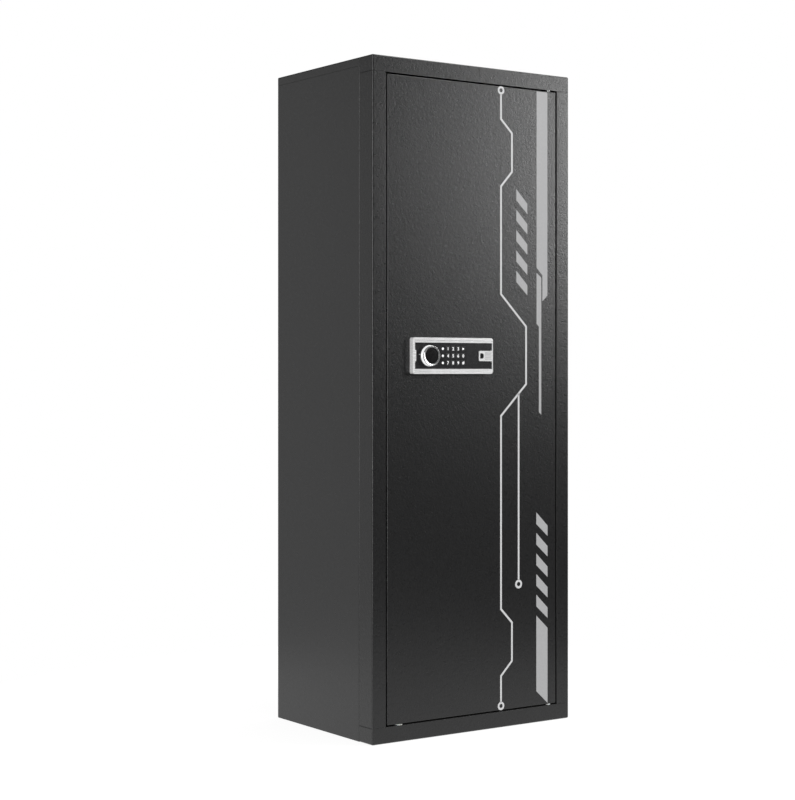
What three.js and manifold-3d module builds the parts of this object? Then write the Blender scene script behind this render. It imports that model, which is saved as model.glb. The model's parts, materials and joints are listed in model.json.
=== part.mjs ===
// A tall steel gun safe with an electronic lock: folded-sheet cabinet, hung door, and a
// knob that throws two side bolts, a top rod and a bottom rod.
// Millimetres, +Z up. The origin is the centre of the cabinet's footprint on the floor,
// the front faces -Y, and the hinges are on the +X side. The bolts are drawn back at rest.
import * as THREE from "three";
import { mergeVertices } from "three/addons/utils/BufferGeometryUtils.js";
import Module from "manifold-3d";

const wasm = await Module();
wasm.setup();

// ---- Driving dimensions ----
const WIDTH = 518;
const DEPTH = 370;
const HEIGHT = 1400;
const SHEET = 2;
const THIN_SHEET = 1.5;
const GAP = 0.3;
const FRAME_FACE = 33.5;
const FRAME_WRAP = 48;
const JAMB_DEPTH = 19;
const DOOR_GAP = 3;
const DOOR_DEPTH = 36;
const DOOR_LIP = 14;
const CAP_FLANGE = 18;
const SIDES = 24;

// ---- Planes and edges worked out from them ----
const LEFT = -WIDTH / 2;
const RIGHT = WIDTH / 2;
const FRONT = -DEPTH / 2;
const BACK = DEPTH / 2;
const WRAP_END = FRONT + FRAME_WRAP;
const JAMB_END = FRONT + JAMB_DEPTH;
const OPEN_X = RIGHT - FRAME_FACE;
const OPEN_LOW = FRAME_FACE;
const OPEN_HIGH = HEIGHT - FRAME_FACE;
const DOOR_X = OPEN_X - DOOR_GAP;
const DOOR_LOW = OPEN_LOW + DOOR_GAP;
const DOOR_HIGH = OPEN_HIGH - DOOR_GAP;
const DOOR_BACK = FRONT + DOOR_DEPTH;
const SKIN_BACK = FRONT + SHEET;
const BACK_PANEL_FRONT = BACK - 4;
const LAP = 15;

// ---- Lock module on the door's face ----
const LOCK_Z = 789.5;
const BEZEL = {
  left: -166.7, right: 40.3, height: 75, depth: 12, rim: 10.25, leftBand: 5, rightBand: 2, corner: 4,
};
const FACE = {
  left: BEZEL.left + BEZEL.leftBand,
  right: BEZEL.right - BEZEL.rightBand,
  height: BEZEL.height - 2 * BEZEL.rim,
  recess: 0.8,
  thick: 2.4,
};
const TAB_REACH = 3.2;
const BEZEL_FRONT = FRONT - BEZEL.depth;
const FACE_FRONT = BEZEL_FRONT + FACE.recess;
const FACE_BACK = FACE_FRONT + FACE.thick;
const KEY = { wide: 10.6, high: 11.6, proud: 0.3, rim: 0.8, pitchX: 13.2, pitchZ: 14.7, firstX: -77.2 };
const KEY_NAMES = [
  ["key_1", "key_2", "key_3", "key_start"],
  ["key_4", "key_5", "key_6", "key_0"],
  ["key_7", "key_8", "key_9", "key_hash"],
];
const KNOB = { x: -125, radius: 21.7, front: FRONT - 22, cap: 17.2 };
const COVER = { left: 2.8, pivotX: 36.8, high: 21.5, thick: 2, pivotY: FACE_FRONT - 1.4 };
const CYLINDER = { x: 21.8, radius: 8.5, plug: 5 };

// ---- Bolt work inside the door ----
const BOLT_Y = FRONT + 27;
const BOLT_RADIUS = 6;
const THROW = 15;
const CRANK_RADIUS = THROW / Math.SQRT2;
const CRANK_OFFSET = THROW / 2;
const CRANK_PIN = 2.5;
const SLOT_HALF = 3.3;
const CAM = { radius: 16, front: FRONT + 13, back: FRONT + 16 };
const CARRIAGE_FRONT = FRONT + 16.5;
const CARRIAGE_BACK = CARRIAGE_FRONT + 2;
const ROD_FRONT = FRONT + 19.5;
const ROD_BACK = ROD_FRONT + 2.5;
const SIDE_BOLT_SPREAD = 150;
const ROD_OFFSET = 12;
const HINGE = { x: 207, y: FRONT + 8, pin: 4 };

// ---- Inside the cabinet ----
const SHELF_Z = 1140;
const RACK_Z = 930;
const WALL_INSIDE = LEFT + SHEET;

// ---- Materials ----
const finish = (color, roughness, metalness) =>
  new THREE.MeshStandardMaterial({ color, roughness, metalness });
const coat = () => finish(0x3a3b3c, 0.6, 0.2);
const zinc = () => finish(0xa9abac, 0.35, 1);
const silver = () => finish(0xc9cacb, 0.3, 0.9);
const chrome = () => finish(0xd9dadb, 0.1, 1);
const blackPlastic = () => finish(0x1a1a1b, 0.4, 0);
const nylon = () => finish(0xd8d8d2, 0.5, 0);
const foam = () => finish(0x26272a, 0.95, 0);
const board = () => finish(0x1f5a36, 0.5, 0);

// ---- Solids: geometry classes for shapes, booleans to join and cut them ----
// Coordinates are rounded to a micrometre, so that faces meant to be flush are exactly flush.
function solid(geometry) {
  geometry.deleteAttribute("normal");
  geometry.deleteAttribute("uv");
  const position = geometry.attributes.position.array;
  position.forEach((value, i) => {
    position[i] = Math.round(value * 1000) / 1000;
  });
  const merged = mergeVertices(geometry, 1e-4);
  return new wasm.Manifold(
    new wasm.Mesh({
      numProp: 3,
      vertProperties: new Float32Array(merged.attributes.position.array),
      triVerts: new Uint32Array(merged.index.array),
    }),
  );
}

function geometryOf(manifold) {
  const made = manifold.getMesh();
  const geometry = new THREE.BufferGeometry();
  geometry.setAttribute("position", new THREE.BufferAttribute(made.vertProperties, 3));
  geometry.setIndex(new THREE.BufferAttribute(made.triVerts, 1));
  geometry.computeVertexNormals();
  return geometry;
}

// A box between two values along each axis.
function slab(x0, x1, y0, y1, z0, z1) {
  const box = new THREE.BoxGeometry(x1 - x0, y1 - y0, z1 - z0);
  box.translate((x0 + x1) / 2, (y0 + y1) / 2, (z0 + z1) / 2);
  return solid(box);
}

// The same box on both sides of the X = 0 plane.
function mirroredSlabs(x0, x1, ...rest) {
  return [slab(x0, x1, ...rest), slab(-x1, -x0, ...rest)];
}

// A turned shape from [radius, distance] pairs, starting and ending on its axis or closed.
function turned(points, axis, place, sides = SIDES) {
  const lathe = new THREE.LatheGeometry(points.map(([r, d]) => new THREE.Vector2(r, d)), sides);
  if (axis === "x") lathe.rotateZ(-Math.PI / 2);
  if (axis === "z") lathe.rotateX(Math.PI / 2);
  lathe.translate(...place);
  const made = solid(lathe);
  return made.volume() < 0 ? solid(flipped(lathe)) : made;
}

function flipped(geometry) {
  const index = geometry.index.array;
  for (let i = 0; i < index.length; i += 3) {
    [index[i + 1], index[i + 2]] = [index[i + 2], index[i + 1]];
  }
  return geometry;
}

// A round bar along one axis, from one distance to another.
function bar(radius, from, to, axis, place, sides = SIDES) {
  return turned([[0, from], [radius, from], [radius, to], [0, to]], axis, place, sides);
}

// A ring along one axis.
function ring(inner, outer, from, to, axis, place, sides = SIDES) {
  const profile = [[inner, from], [outer, from], [outer, to], [inner, to], [inner, from]];
  return turned(profile, axis, place, sides);
}

// A plan outline in X and Y, raised from one height to another.
function raised(shape, low, high, curveSegments = 8) {
  const extrusion = new THREE.ExtrudeGeometry(shape, {
    depth: high - low,
    bevelEnabled: false,
    curveSegments,
  });
  extrusion.translate(0, 0, low);
  return solid(extrusion);
}

// An upright rounded rectangle in X and Z, with its thickness along Y.
function roundedPanel(x0, x1, z0, z1, corner, y0, y1) {
  const shape = new THREE.Shape();
  shape.moveTo(x0 + corner, z0);
  shape.lineTo(x1 - corner, z0);
  shape.absarc(x1 - corner, z0 + corner, corner, -Math.PI / 2, 0);
  shape.absarc(x1 - corner, z1 - corner, corner, 0, Math.PI / 2);
  shape.absarc(x0 + corner, z1 - corner, corner, Math.PI / 2, Math.PI);
  shape.absarc(x0 + corner, z0 + corner, corner, Math.PI, Math.PI * 1.5);
  const extrusion = new THREE.ExtrudeGeometry(shape, {
    depth: y1 - y0,
    bevelEnabled: false,
    curveSegments: 4,
  });
  extrusion.rotateX(Math.PI / 2);
  extrusion.translate(0, y1, 0);
  return solid(extrusion);
}

const join = (...solids) => solids.reduce((whole, piece) => whole.add(piece));
const cut = (body, ...tools) => tools.reduce((rest, tool) => rest.subtract(tool), body);

const safe = new THREE.Group();

function add(name, manifold, material) {
  const mesh = new THREE.Mesh(geometryOf(manifold), material);
  mesh.name = name;
  safe.add(mesh);
}

// ---- Cabinet shell ----
// A side panel folds in at the rear and laps inward behind the front frame's wrap.
function sidePanel(side) {
  const points = [
    [RIGHT, WRAP_END + GAP],
    [RIGHT, BACK],
    [RIGHT - LAP, BACK],
    [RIGHT - LAP, BACK - SHEET],
    [RIGHT - SHEET, BACK - SHEET],
    [RIGHT - SHEET, WRAP_END + LAP],
    [RIGHT - SHEET - GAP - THIN_SHEET, WRAP_END + LAP],
    [RIGHT - SHEET - GAP - THIN_SHEET, WRAP_END - LAP],
    [RIGHT - SHEET - GAP, WRAP_END - LAP],
    [RIGHT - SHEET - GAP, WRAP_END + GAP],
  ].map(([x, y]) => new THREE.Vector2(side * x, y));
  if (side < 0) points.reverse();
  const panel = raised(new THREE.Shape(points), 0, HEIGHT - CAP_FLANGE - GAP);
  const [right, left] = mirroredSlabs(RIGHT - SHEET - 5, RIGHT - SHEET, FRONT, WRAP_END + GAP, -1, SHEET + GAP);
  return panel.subtract(side > 0 ? right : left);
}

// The cap is a tray turned down at the sides and rear. A lap strip on each side drops behind
// the top edge of the side panel.
function topCap() {
  const low = HEIGHT - CAP_FLANGE;
  const front = WRAP_END + GAP;
  const tray = cut(
    slab(LEFT, RIGHT, front, BACK, low, HEIGHT),
    slab(LEFT + SHEET, RIGHT - SHEET, front - 5, BACK - SHEET, low - 5, HEIGHT - SHEET),
  );
  const lapFront = front + LAP;
  const lapBack = BACK_PANEL_FRONT - GAP;
  const lapOuter = RIGHT - SHEET - GAP;
  const lapInner = lapOuter - THIN_SHEET;
  return join(
    tray,
    ...mirroredSlabs(lapInner, lapOuter, lapFront, lapBack, low - LAP, HEIGHT - 1),
    ...mirroredSlabs(lapInner + 0.5, RIGHT - 1, lapFront + 1, lapBack - 1, low + 2, HEIGHT - 1.2),
  );
}

function bottomPanel() {
  const outer = RIGHT - SHEET - THIN_SHEET - 2 * GAP;
  const front = WRAP_END + GAP;
  const rear = BACK_PANEL_FRONT - GAP;
  const flangeTop = 20;
  return join(
    slab(-outer, outer, front, rear, 0, SHEET),
    ...mirroredSlabs(outer - THIN_SHEET, outer, front + LAP, rear, 0, flangeTop),
    slab(-outer, outer, rear - THIN_SHEET, rear, 0, flangeTop),
  );
}

function backPanel() {
  const half = RIGHT - SHEET - GAP;
  const anchors = [-120, 120].map((x) => bar(5, BACK_PANEL_FRONT - 5, BACK, "y", [x, 0, 1180], 16));
  return cut(
    slab(-half, half, BACK_PANEL_FRONT, BACK - SHEET - GAP, 0, HEIGHT - SHEET - GAP), ...anchors,
  );
}

// A frame rail: face, wrap over the top or bottom, wrapped ends and the return at the opening.
function frameRail(outerZ, openZ) {
  const low = Math.min(outerZ, openZ);
  const high = Math.max(outerZ, openZ);
  const inward = Math.sign(openZ - outerZ) * SHEET;
  const span = (z) => [Math.min(z, z + inward), Math.max(z, z + inward)];
  const holeZ = [openZ - 5, openZ + 5];
  return cut(
    join(
      slab(LEFT, RIGHT, FRONT, FRONT + SHEET, low, high),
      slab(LEFT, RIGHT, FRONT, WRAP_END, ...span(outerZ)),
      ...mirroredSlabs(RIGHT - SHEET, RIGHT, FRONT, WRAP_END, low, high),
      slab(LEFT, RIGHT, FRONT, JAMB_END, ...span(openZ - inward)),
    ),
    bar(HINGE.pin + GAP, ...holeZ, "z", [HINGE.x, HINGE.y, 0]),
  );
}

// A frame stile: face, wrap along the side and the jamb that the bolts pass behind.
function frameStile(side) {
  const low = OPEN_LOW + GAP;
  const high = OPEN_HIGH - GAP;
  const points = [
    [RIGHT, FRONT],
    [RIGHT, WRAP_END],
    [RIGHT - SHEET, WRAP_END],
    [RIGHT - SHEET, FRONT + SHEET],
    [OPEN_X + SHEET, FRONT + SHEET],
    [OPEN_X + SHEET, JAMB_END],
    [OPEN_X, JAMB_END],
    [OPEN_X, FRONT],
  ].map(([x, y]) => new THREE.Vector2(side * x, y));
  if (side < 0) points.reverse();
  return raised(new THREE.Shape(points), low, high);
}

function addCabinet() {
  add("left_side_panel", sidePanel(-1), coat());
  add("right_side_panel", sidePanel(1), coat());
  add("back_panel", backPanel(), coat());
  add("top_cap", topCap(), coat());
  add("bottom_panel", bottomPanel(), coat());
  add("frame_top_rail", frameRail(HEIGHT, OPEN_HIGH), coat());
  add("frame_bottom_rail", frameRail(0, OPEN_LOW), coat());
  add("frame_left_stile", frameStile(-1), coat());
  add("frame_right_stile", frameStile(1), coat());
}

// ---- Hinge pins, glide and door stops ----
// A pin hangs from the top rail or stands on the bottom rail, headed inside the rail.
function hingePin(openZ, intoDoor, intoRail) {
  const headFrom = openZ + Math.sign(intoRail) * (SHEET + GAP);
  const headTo = openZ + intoRail;
  const shank = [openZ + intoDoor, headTo].sort((a, b) => a - b);
  const head = [headFrom, headTo].sort((a, b) => a - b);
  const place = [HINGE.x, HINGE.y, 0];
  return join(bar(HINGE.pin, ...shank, "z", place), bar(HINGE.pin + 1.5, ...head, "z", place));
}

function doorStop(outerZ, reach) {
  const inner = outerZ - Math.sign(reach) * (SHEET + GAP);
  const leg = [inner, inner - Math.sign(reach) * THIN_SHEET].sort((a, b) => a - b);
  const plate = [inner, outerZ - reach].sort((a, b) => a - b);
  const plateY = DOOR_BACK + 4.5;
  return join(
    slab(-214, -192, plateY - 12, plateY + THIN_SHEET, ...leg),
    slab(-214, -192, plateY, plateY + THIN_SHEET, ...plate),
  );
}

function addHingeAndStops() {
  add("hinge_pin_upper", hingePin(OPEN_HIGH, -14, 12), zinc());
  add("hinge_pin_lower", hingePin(OPEN_LOW, 14, -12), zinc());
  const washerLow = OPEN_LOW + GAP;
  const washerHigh = DOOR_LOW - GAP;
  const washerPlace = [HINGE.x, HINGE.y, 0];
  add(
    "hinge_washer_lower", ring(HINGE.pin + GAP, 5.4, washerLow, washerHigh, "z", washerPlace), nylon(),
  );
  const glide = join(
    slab(-196, -184, FRONT + 3, FRONT + 16, OPEN_LOW + GAP, DOOR_LOW - 0.6),
    slab(-196, -184, FRONT + 1.5, FRONT + 4, OPEN_LOW + GAP, DOOR_LOW - 1.6),
  );
  add("door_glide_pad", glide, nylon());
  add("door_stop_upper", doorStop(HEIGHT, 52), coat());
  add("door_stop_lower", doorStop(0, -52), coat());
}

// ---- Shelf, barrel rack and mat ----
function shelfBracket(side) {
  const outer = RIGHT - SHEET - GAP;
  const leg = side > 0 ? [outer - THIN_SHEET, outer] : [-outer, -outer + THIN_SHEET];
  const ledge = side > 0 ? [outer - 16, outer] : [-outer, -outer + 16];
  const top = SHELF_Z - GAP;
  return join(
    slab(...leg, -95, 172, top - 22, top),
    slab(...ledge, -95, 172, top - THIN_SHEET, top),
  );
}

function shelf() {
  const half = RIGHT - SHEET - 1.2;
  const front = -100;
  return join(
    slab(-half, half, front, 178, SHELF_Z, SHELF_Z + THIN_SHEET),
    slab(-half, half, front - THIN_SHEET, front, SHELF_Z - 18, SHELF_Z + THIN_SHEET),
    slab(-half, half, 178 - THIN_SHEET, 178, SHELF_Z, SHELF_Z + 14),
  );
}

// Foam rest with rounded notches that hold the barrels.
function barrelRack() {
  const slots = 5;
  const pitch = 88;
  const notch = 16;
  const half = 228;
  const front = 96;
  const seat = 128;
  const rear = BACK_PANEL_FRONT - 2.5;
  const shape = new THREE.Shape();
  shape.moveTo(half, front);
  shape.lineTo(half, rear);
  shape.lineTo(-half, rear);
  shape.lineTo(-half, front);
  for (let i = 0; i < slots; i += 1) {
    const x = (i - (slots - 1) / 2) * pitch;
    shape.lineTo(x - notch, front);
    shape.absarc(x, seat, notch, Math.PI, 0, true);
    shape.lineTo(x + notch, front);
  }
  return raised(shape, RACK_Z + THIN_SHEET + GAP, RACK_Z + 32, 8);
}

function rackBracket() {
  const rear = BACK_PANEL_FRONT - GAP;
  return join(
    slab(-220, 220, 150, rear, RACK_Z, RACK_Z + THIN_SHEET),
    slab(-220, 220, rear - THIN_SHEET, rear, RACK_Z - 34, RACK_Z + THIN_SHEET),
  );
}

function addInterior() {
  add("shelf_bracket_left", shelfBracket(-1), zinc());
  add("shelf_bracket_right", shelfBracket(1), zinc());
  add("shelf", shelf(), coat());
  add("rack_bracket", rackBracket(), coat());
  add("barrel_rack", barrelRack(), foam());
  add("floor_mat", slab(-252, 252, -134, 178, SHEET + GAP, SHEET + 12), foam());
}

// ---- Door ----
// A pan folded from one sheet: face, four returns and a lip round the back.
function doorSkin() {
  const outside = slab(-DOOR_X, DOOR_X, FRONT, DOOR_BACK, DOOR_LOW, DOOR_HIGH);
  const hollow = slab(
    -DOOR_X + SHEET,
    DOOR_X - SHEET,
    SKIN_BACK,
    DOOR_BACK - SHEET,
    DOOR_LOW + SHEET,
    DOOR_HIGH - SHEET,
  );
  const mouth = slab(
    -DOOR_X + DOOR_LIP,
    DOOR_X - DOOR_LIP,
    FRONT + 10,
    DOOR_BACK + 5,
    DOOR_LOW + DOOR_LIP,
    DOOR_HIGH - DOOR_LIP,
  );
  const boltHoles = [-1, 1].map((side) =>
    bar(
      BOLT_RADIUS + 0.5, -DOOR_X - 5, -DOOR_X + 5, "x", [0, BOLT_Y, LOCK_Z + side * SIDE_BOLT_SPREAD],
    ),
  );
  const rodHoles = [
    bar(BOLT_RADIUS + 0.5, DOOR_HIGH - 5, DOOR_HIGH + 5, "z", [KNOB.x + ROD_OFFSET, BOLT_Y, 0]),
    bar(BOLT_RADIUS + 0.5, DOOR_LOW - 5, DOOR_LOW + 5, "z", [KNOB.x - ROD_OFFSET, BOLT_Y, 0]),
  ];
  const hingeHoles = [
    bar(5.2 + GAP, DOOR_HIGH - 5, DOOR_HIGH + 5, "z", [HINGE.x, HINGE.y, 0]),
    bar(HINGE.pin + GAP, DOOR_LOW - 5, DOOR_LOW + 5, "z", [HINGE.x, HINGE.y, 0]),
  ];
  const lockHoles = [
    bar(6, FRONT - 5, FRONT + 5, "y", [KNOB.x, 0, LOCK_Z]),
    bar(CYLINDER.radius + GAP, FRONT - 5, FRONT + 5, "y", [CYLINDER.x, 0, LOCK_Z]),
    slab(-66, -50, FRONT - 5, FRONT + 5, LOCK_Z - 5, LOCK_Z + 5),
  ];
  return cut(outside, hollow, mouth, ...boltHoles, ...rodHoles, ...hingeHoles, ...lockHoles);
}

const BATTERY = { x0: -20, x1: 52, z0: LOCK_Z - 105, z1: LOCK_Z - 33, back: DOOR_BACK + 4 };

function doorBackPanel() {
  const half = DOOR_X - 6;
  const cover = slab(
    -half, half, DOOR_BACK + GAP, DOOR_BACK + GAP + THIN_SHEET, DOOR_LOW + 6, DOOR_HIGH - 6,
  );
  const window = slab(
    BATTERY.x0 - GAP,
    BATTERY.x1 + GAP,
    DOOR_BACK - 5,
    DOOR_BACK + 5,
    BATTERY.z0 - GAP,
    BATTERY.z1 + GAP,
  );
  return cut(cover, window);
}

// Hat-section stiffener welded behind the face on the hinge side.
function doorStiffener() {
  const shape = new THREE.Shape();
  const centre = 130;
  const inner = SKIN_BACK + GAP;
  const crown = inner + 14;
  const steps = [
    [-30, inner], [-14, inner], [-14, crown - THIN_SHEET], [14, crown - THIN_SHEET], [14, inner],
    [30, inner],
    [30, inner + THIN_SHEET], [14 + THIN_SHEET, inner + THIN_SHEET], [14 + THIN_SHEET, crown],
    [-14 - THIN_SHEET, crown], [-14 - THIN_SHEET, inner + THIN_SHEET], [-30, inner + THIN_SHEET],
  ];
  shape.setFromPoints(steps.map(([x, y]) => new THREE.Vector2(centre + x, y)));
  return raised(shape, DOOR_LOW + 60, DOOR_HIGH - 60);
}

// Guide that a rod slides through near the end of the door.
function rodGuide(x, z) {
  const half = 18;
  const high = 16;
  const wall = SHEET;
  const block = slab(x - half, x + half, SKIN_BACK + GAP, ROD_BACK + 3, z - high / 2, z + high / 2);
  const tunnel = slab(x - 7, x + 7, ROD_FRONT - 1, ROD_BACK + 1, z - high, z + high);
  const sides = [-1, 1].map((side) =>
    slab(
      Math.min(x + side * (7 + wall), x + side * 30),
      Math.max(x + side * (7 + wall), x + side * 30),
      SKIN_BACK + GAP + wall,
      ROD_BACK + 10,
      z - high,
      z + high,
    ),
  );
  const core = slab(x - 7, x + 7, SKIN_BACK - 5, ROD_FRONT - 1 - wall, z - high, z + high);
  return cut(block, tunnel, core, ...sides);
}

function addDoor() {
  add("door_skin", doorSkin(), coat());
  add("door_back_panel", doorBackPanel(), coat());
  add("door_stiffener", doorStiffener(), coat());
  const bush = [
    [HINGE.pin + GAP, DOOR_HIGH - 14],
    [5.7, DOOR_HIGH - 14],
    [5.7, DOOR_HIGH - SHEET - GAP],
    [5.2, DOOR_HIGH - SHEET - GAP],
    [5.2, DOOR_HIGH + 1.5],
    [HINGE.pin + GAP, DOOR_HIGH + 1.5],
    [HINGE.pin + GAP, DOOR_HIGH - 14],
  ];
  add("hinge_bush_upper", turned(bush, "z", [HINGE.x, HINGE.y, 0]), nylon());
  add("rod_guide_upper", rodGuide(KNOB.x + ROD_OFFSET, DOOR_HIGH - 70), zinc());
  add("rod_guide_lower", rodGuide(KNOB.x - ROD_OFFSET, DOOR_LOW + 70), zinc());
}

// ---- Lock module ----
// Silver frame round the black face, with the small tab at its left and the flap's two ears.
function lockBezel() {
  const top = LOCK_Z + BEZEL.height / 2;
  const low = LOCK_Z - BEZEL.height / 2;
  const faceHalf = FACE.height / 2;
  const ledge = 3;
  const back = FRONT - GAP;
  const body = roundedPanel(BEZEL.left, BEZEL.right, low, top, BEZEL.corner, BEZEL_FRONT, back);
  const faceWindow = slab(
    FACE.left, FACE.right, BEZEL_FRONT - 5, FACE_BACK + GAP, LOCK_Z - faceHalf, LOCK_Z + faceHalf,
  );
  const hollow = slab(
    FACE.left + ledge, FACE.right - ledge, BEZEL_FRONT, back + 5, LOCK_Z - faceHalf + ledge,
    LOCK_Z + faceHalf - ledge,
  );
  const groove = slab(
    BEZEL.left - 5, BEZEL.right + 5, BEZEL_FRONT - 5, BEZEL_FRONT + 0.8, top - 7.2, top - 5.4,
  );
  const tab = slab(
    FACE.left - 1, FACE.left + TAB_REACH, BEZEL_FRONT, FACE_BACK, LOCK_Z - 11.7, LOCK_Z + 11.7,
  );
  const ears = [-1, 1].map((side) => {
    const from = LOCK_Z + side * (COVER.high / 2 + GAP + 0.1);
    const to = from + side * 2.2;
    return slab(
      COVER.pivotX - 1.1, FACE.right + 1, COVER.pivotY - 1, FACE_BACK, Math.min(from, to),
      Math.max(from, to),
    );
  });
  return join(cut(body, faceWindow, hollow, groove), tab, ...ears);
}

function eachKey(visit) {
  KEY_NAMES.forEach((row, r) => {
    row.forEach((name, c) => visit(name, KEY.firstX + c * KEY.pitchX, LOCK_Z + (1 - r) * KEY.pitchZ));
  });
}

const LENS = { x: KEY.firstX - KEY.pitchX, half: 3.2, height: 37 };

function lockFace() {
  const half = FACE.height / 2 - GAP;
  let face = slab(
    FACE.left + GAP, FACE.right - GAP, FACE_FRONT, FACE_BACK, LOCK_Z - half, LOCK_Z + half,
  );
  eachKey((name, x, z) => {
    const w = KEY.wide / 2 + GAP;
    const h = KEY.high / 2 + GAP;
    face = face.subtract(slab(x - w, x + w, FACE_FRONT - 5, FACE_BACK + 5, z - h, z + h));
  });
  const lensHalf = LENS.half + GAP;
  const lensHigh = LENS.height / 2 + GAP;
  const tabCut = TAB_REACH + GAP;
  const earCut = COVER.high / 2 + 2.8;
  return cut(
    face,
    slab(
      LENS.x - lensHalf, LENS.x + lensHalf, FACE_FRONT - 5, FACE_BACK + 5, LOCK_Z - lensHigh,
      LOCK_Z + lensHigh,
    ),
    bar(6, FACE_FRONT - 5, FACE_BACK + 5, "y", [KNOB.x, 0, LOCK_Z]),
    bar(CYLINDER.radius + GAP, FACE_FRONT - 5, FACE_BACK + 5, "y", [CYLINDER.x, 0, LOCK_Z]),
    slab(FACE.left - 1, FACE.left + tabCut, FACE_FRONT - 5, FACE_BACK + 5, LOCK_Z - 12, LOCK_Z + 12),
    slab(
      COVER.pivotX - 1.4, FACE.right + 1, FACE_FRONT - 5, FACE_BACK + 5, LOCK_Z + earCut - 2.8,
      LOCK_Z + earCut,
    ),
    slab(
      COVER.pivotX - 1.4, FACE.right + 1, FACE_FRONT - 5, FACE_BACK + 5, LOCK_Z - earCut,
      LOCK_Z - earCut + 2.8,
    ),
  );
}

// A key cap stands a little proud of the face and has a wider foot behind it.
function keyCap(x, z) {
  const w = KEY.wide / 2;
  const h = KEY.high / 2;
  const foot = FACE_BACK + GAP;
  return join(
    slab(x - w, x + w, FACE_FRONT - KEY.proud, foot + 1.2, z - h, z + h),
    slab(x - w - KEY.rim, x + w + KEY.rim, foot, foot + 1.2, z - h - KEY.rim, z + h + KEY.rim),
  );
}

// Flap over the emergency key: it turns on the barrel at its right-hand end.
function keyCover() {
  const half = COVER.high / 2;
  const thick = COVER.thick / 2;
  const plate = slab(
    COVER.left, COVER.pivotX, COVER.pivotY - thick, COVER.pivotY + thick, LOCK_Z - half, LOCK_Z + half,
  );
  const barrel = bar(thick, LOCK_Z - half, LOCK_Z + half, "z", [COVER.pivotX, COVER.pivotY, 0], 12);
  const notch = bar(5.4, -1, COVER.thick, "y", [COVER.left + 7.8, COVER.pivotY - thick, LOCK_Z], 16);
  const floor = slab(0, 20, COVER.pivotY + 0.2, COVER.pivotY + 5, LOCK_Z - 10, LOCK_Z + 10);
  return cut(join(plate, barrel), cut(notch, floor));
}

function keyCylinder() {
  const place = [CYLINDER.x, 0, LOCK_Z];
  return ring(CYLINDER.plug + GAP, CYLINDER.radius, FACE_FRONT + 0.3, FRONT + 18, "y", place);
}

// Plug with a keyway in its face and a lever on its tail.
function keyPlug() {
  const place = [CYLINDER.x, 0, LOCK_Z];
  const tail = FRONT + 20;
  const body = bar(CYLINDER.plug, FACE_FRONT + 0.6, tail, "y", place);
  const keyway = slab(
    CYLINDER.x - 1, CYLINDER.x + 1, FACE_FRONT - 5, FACE_FRONT + 9, LOCK_Z - 3.6, LOCK_Z + 3.6,
  );
  const lever = slab(CYLINDER.x - 5, CYLINDER.x + 5, tail - 1, tail + 2, LOCK_Z - 5, LOCK_Z + 20);
  return join(cut(body, keyway), lever);
}

function addLockModule() {
  add("lock_bezel", lockBezel(), silver());
  add("lock_face", lockFace(), blackPlastic());
  const lens = slab(
    LENS.x - LENS.half, LENS.x + LENS.half, FACE_FRONT, FACE_BACK, LOCK_Z - LENS.height / 2,
    LOCK_Z + LENS.height / 2,
  );
  add("indicator_lens", lens, blackPlastic());
  eachKey((name, x, z) => add(name, keyCap(x, z), blackPlastic()));
  add("key_cover", keyCover(), silver());
  add("key_cylinder", keyCylinder(), zinc());
  add("key_plug", keyPlug(), zinc());
  const boardPlate = slab(-98, -28, FRONT - 3, FRONT - 1.4, LOCK_Z - 21, LOCK_Z + 21);
  add("circuit_board", boardPlate, board());
}

// ---- Knob, cam and bolt work ----
function knobGrip() {
  const front = KNOB.front;
  const profile = [
    [KNOB.cap + GAP, front + 3],
    [KNOB.cap + GAP, front + 1.2],
    [KNOB.radius - 1.7, front],
    [KNOB.radius - 1.3, front + 0.4],
    [KNOB.radius - 1.3, front + 1.8],
    [KNOB.radius - 2.8, front + 2.3],
    [KNOB.radius - 2.8, front + 4.3],
    [KNOB.radius - 1.5, front + 4.9],
    [KNOB.radius - 0.2, FACE_FRONT - 3.2],
    [0, FACE_FRONT - 3.2],
    [0, front + 3],
    [KNOB.cap + GAP, front + 3],
  ];
  return turned(profile, "y", [KNOB.x, 0, LOCK_Z], 36);
}

// Spindle from the knob to the cam, with a crank pin for the carriage and one for each rod.
function spindleCam() {
  const place = [KNOB.x, 0, LOCK_Z];
  const pinAt = (x, z, to) => bar(CRANK_PIN, CAM.front, to, "y", [KNOB.x + x, 0, LOCK_Z + z], 16);
  const d = CRANK_OFFSET;
  return join(
    bar(4, FACE_FRONT - 2.9, CAM.front + 1, "y", place),
    bar(CAM.radius, CAM.front, CAM.back, "y", place, 32),
    pinAt(d, d, CARRIAGE_BACK),
    pinAt(d, -d, ROD_BACK),
    pinAt(-d, d, ROD_BACK),
  );
}

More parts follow.
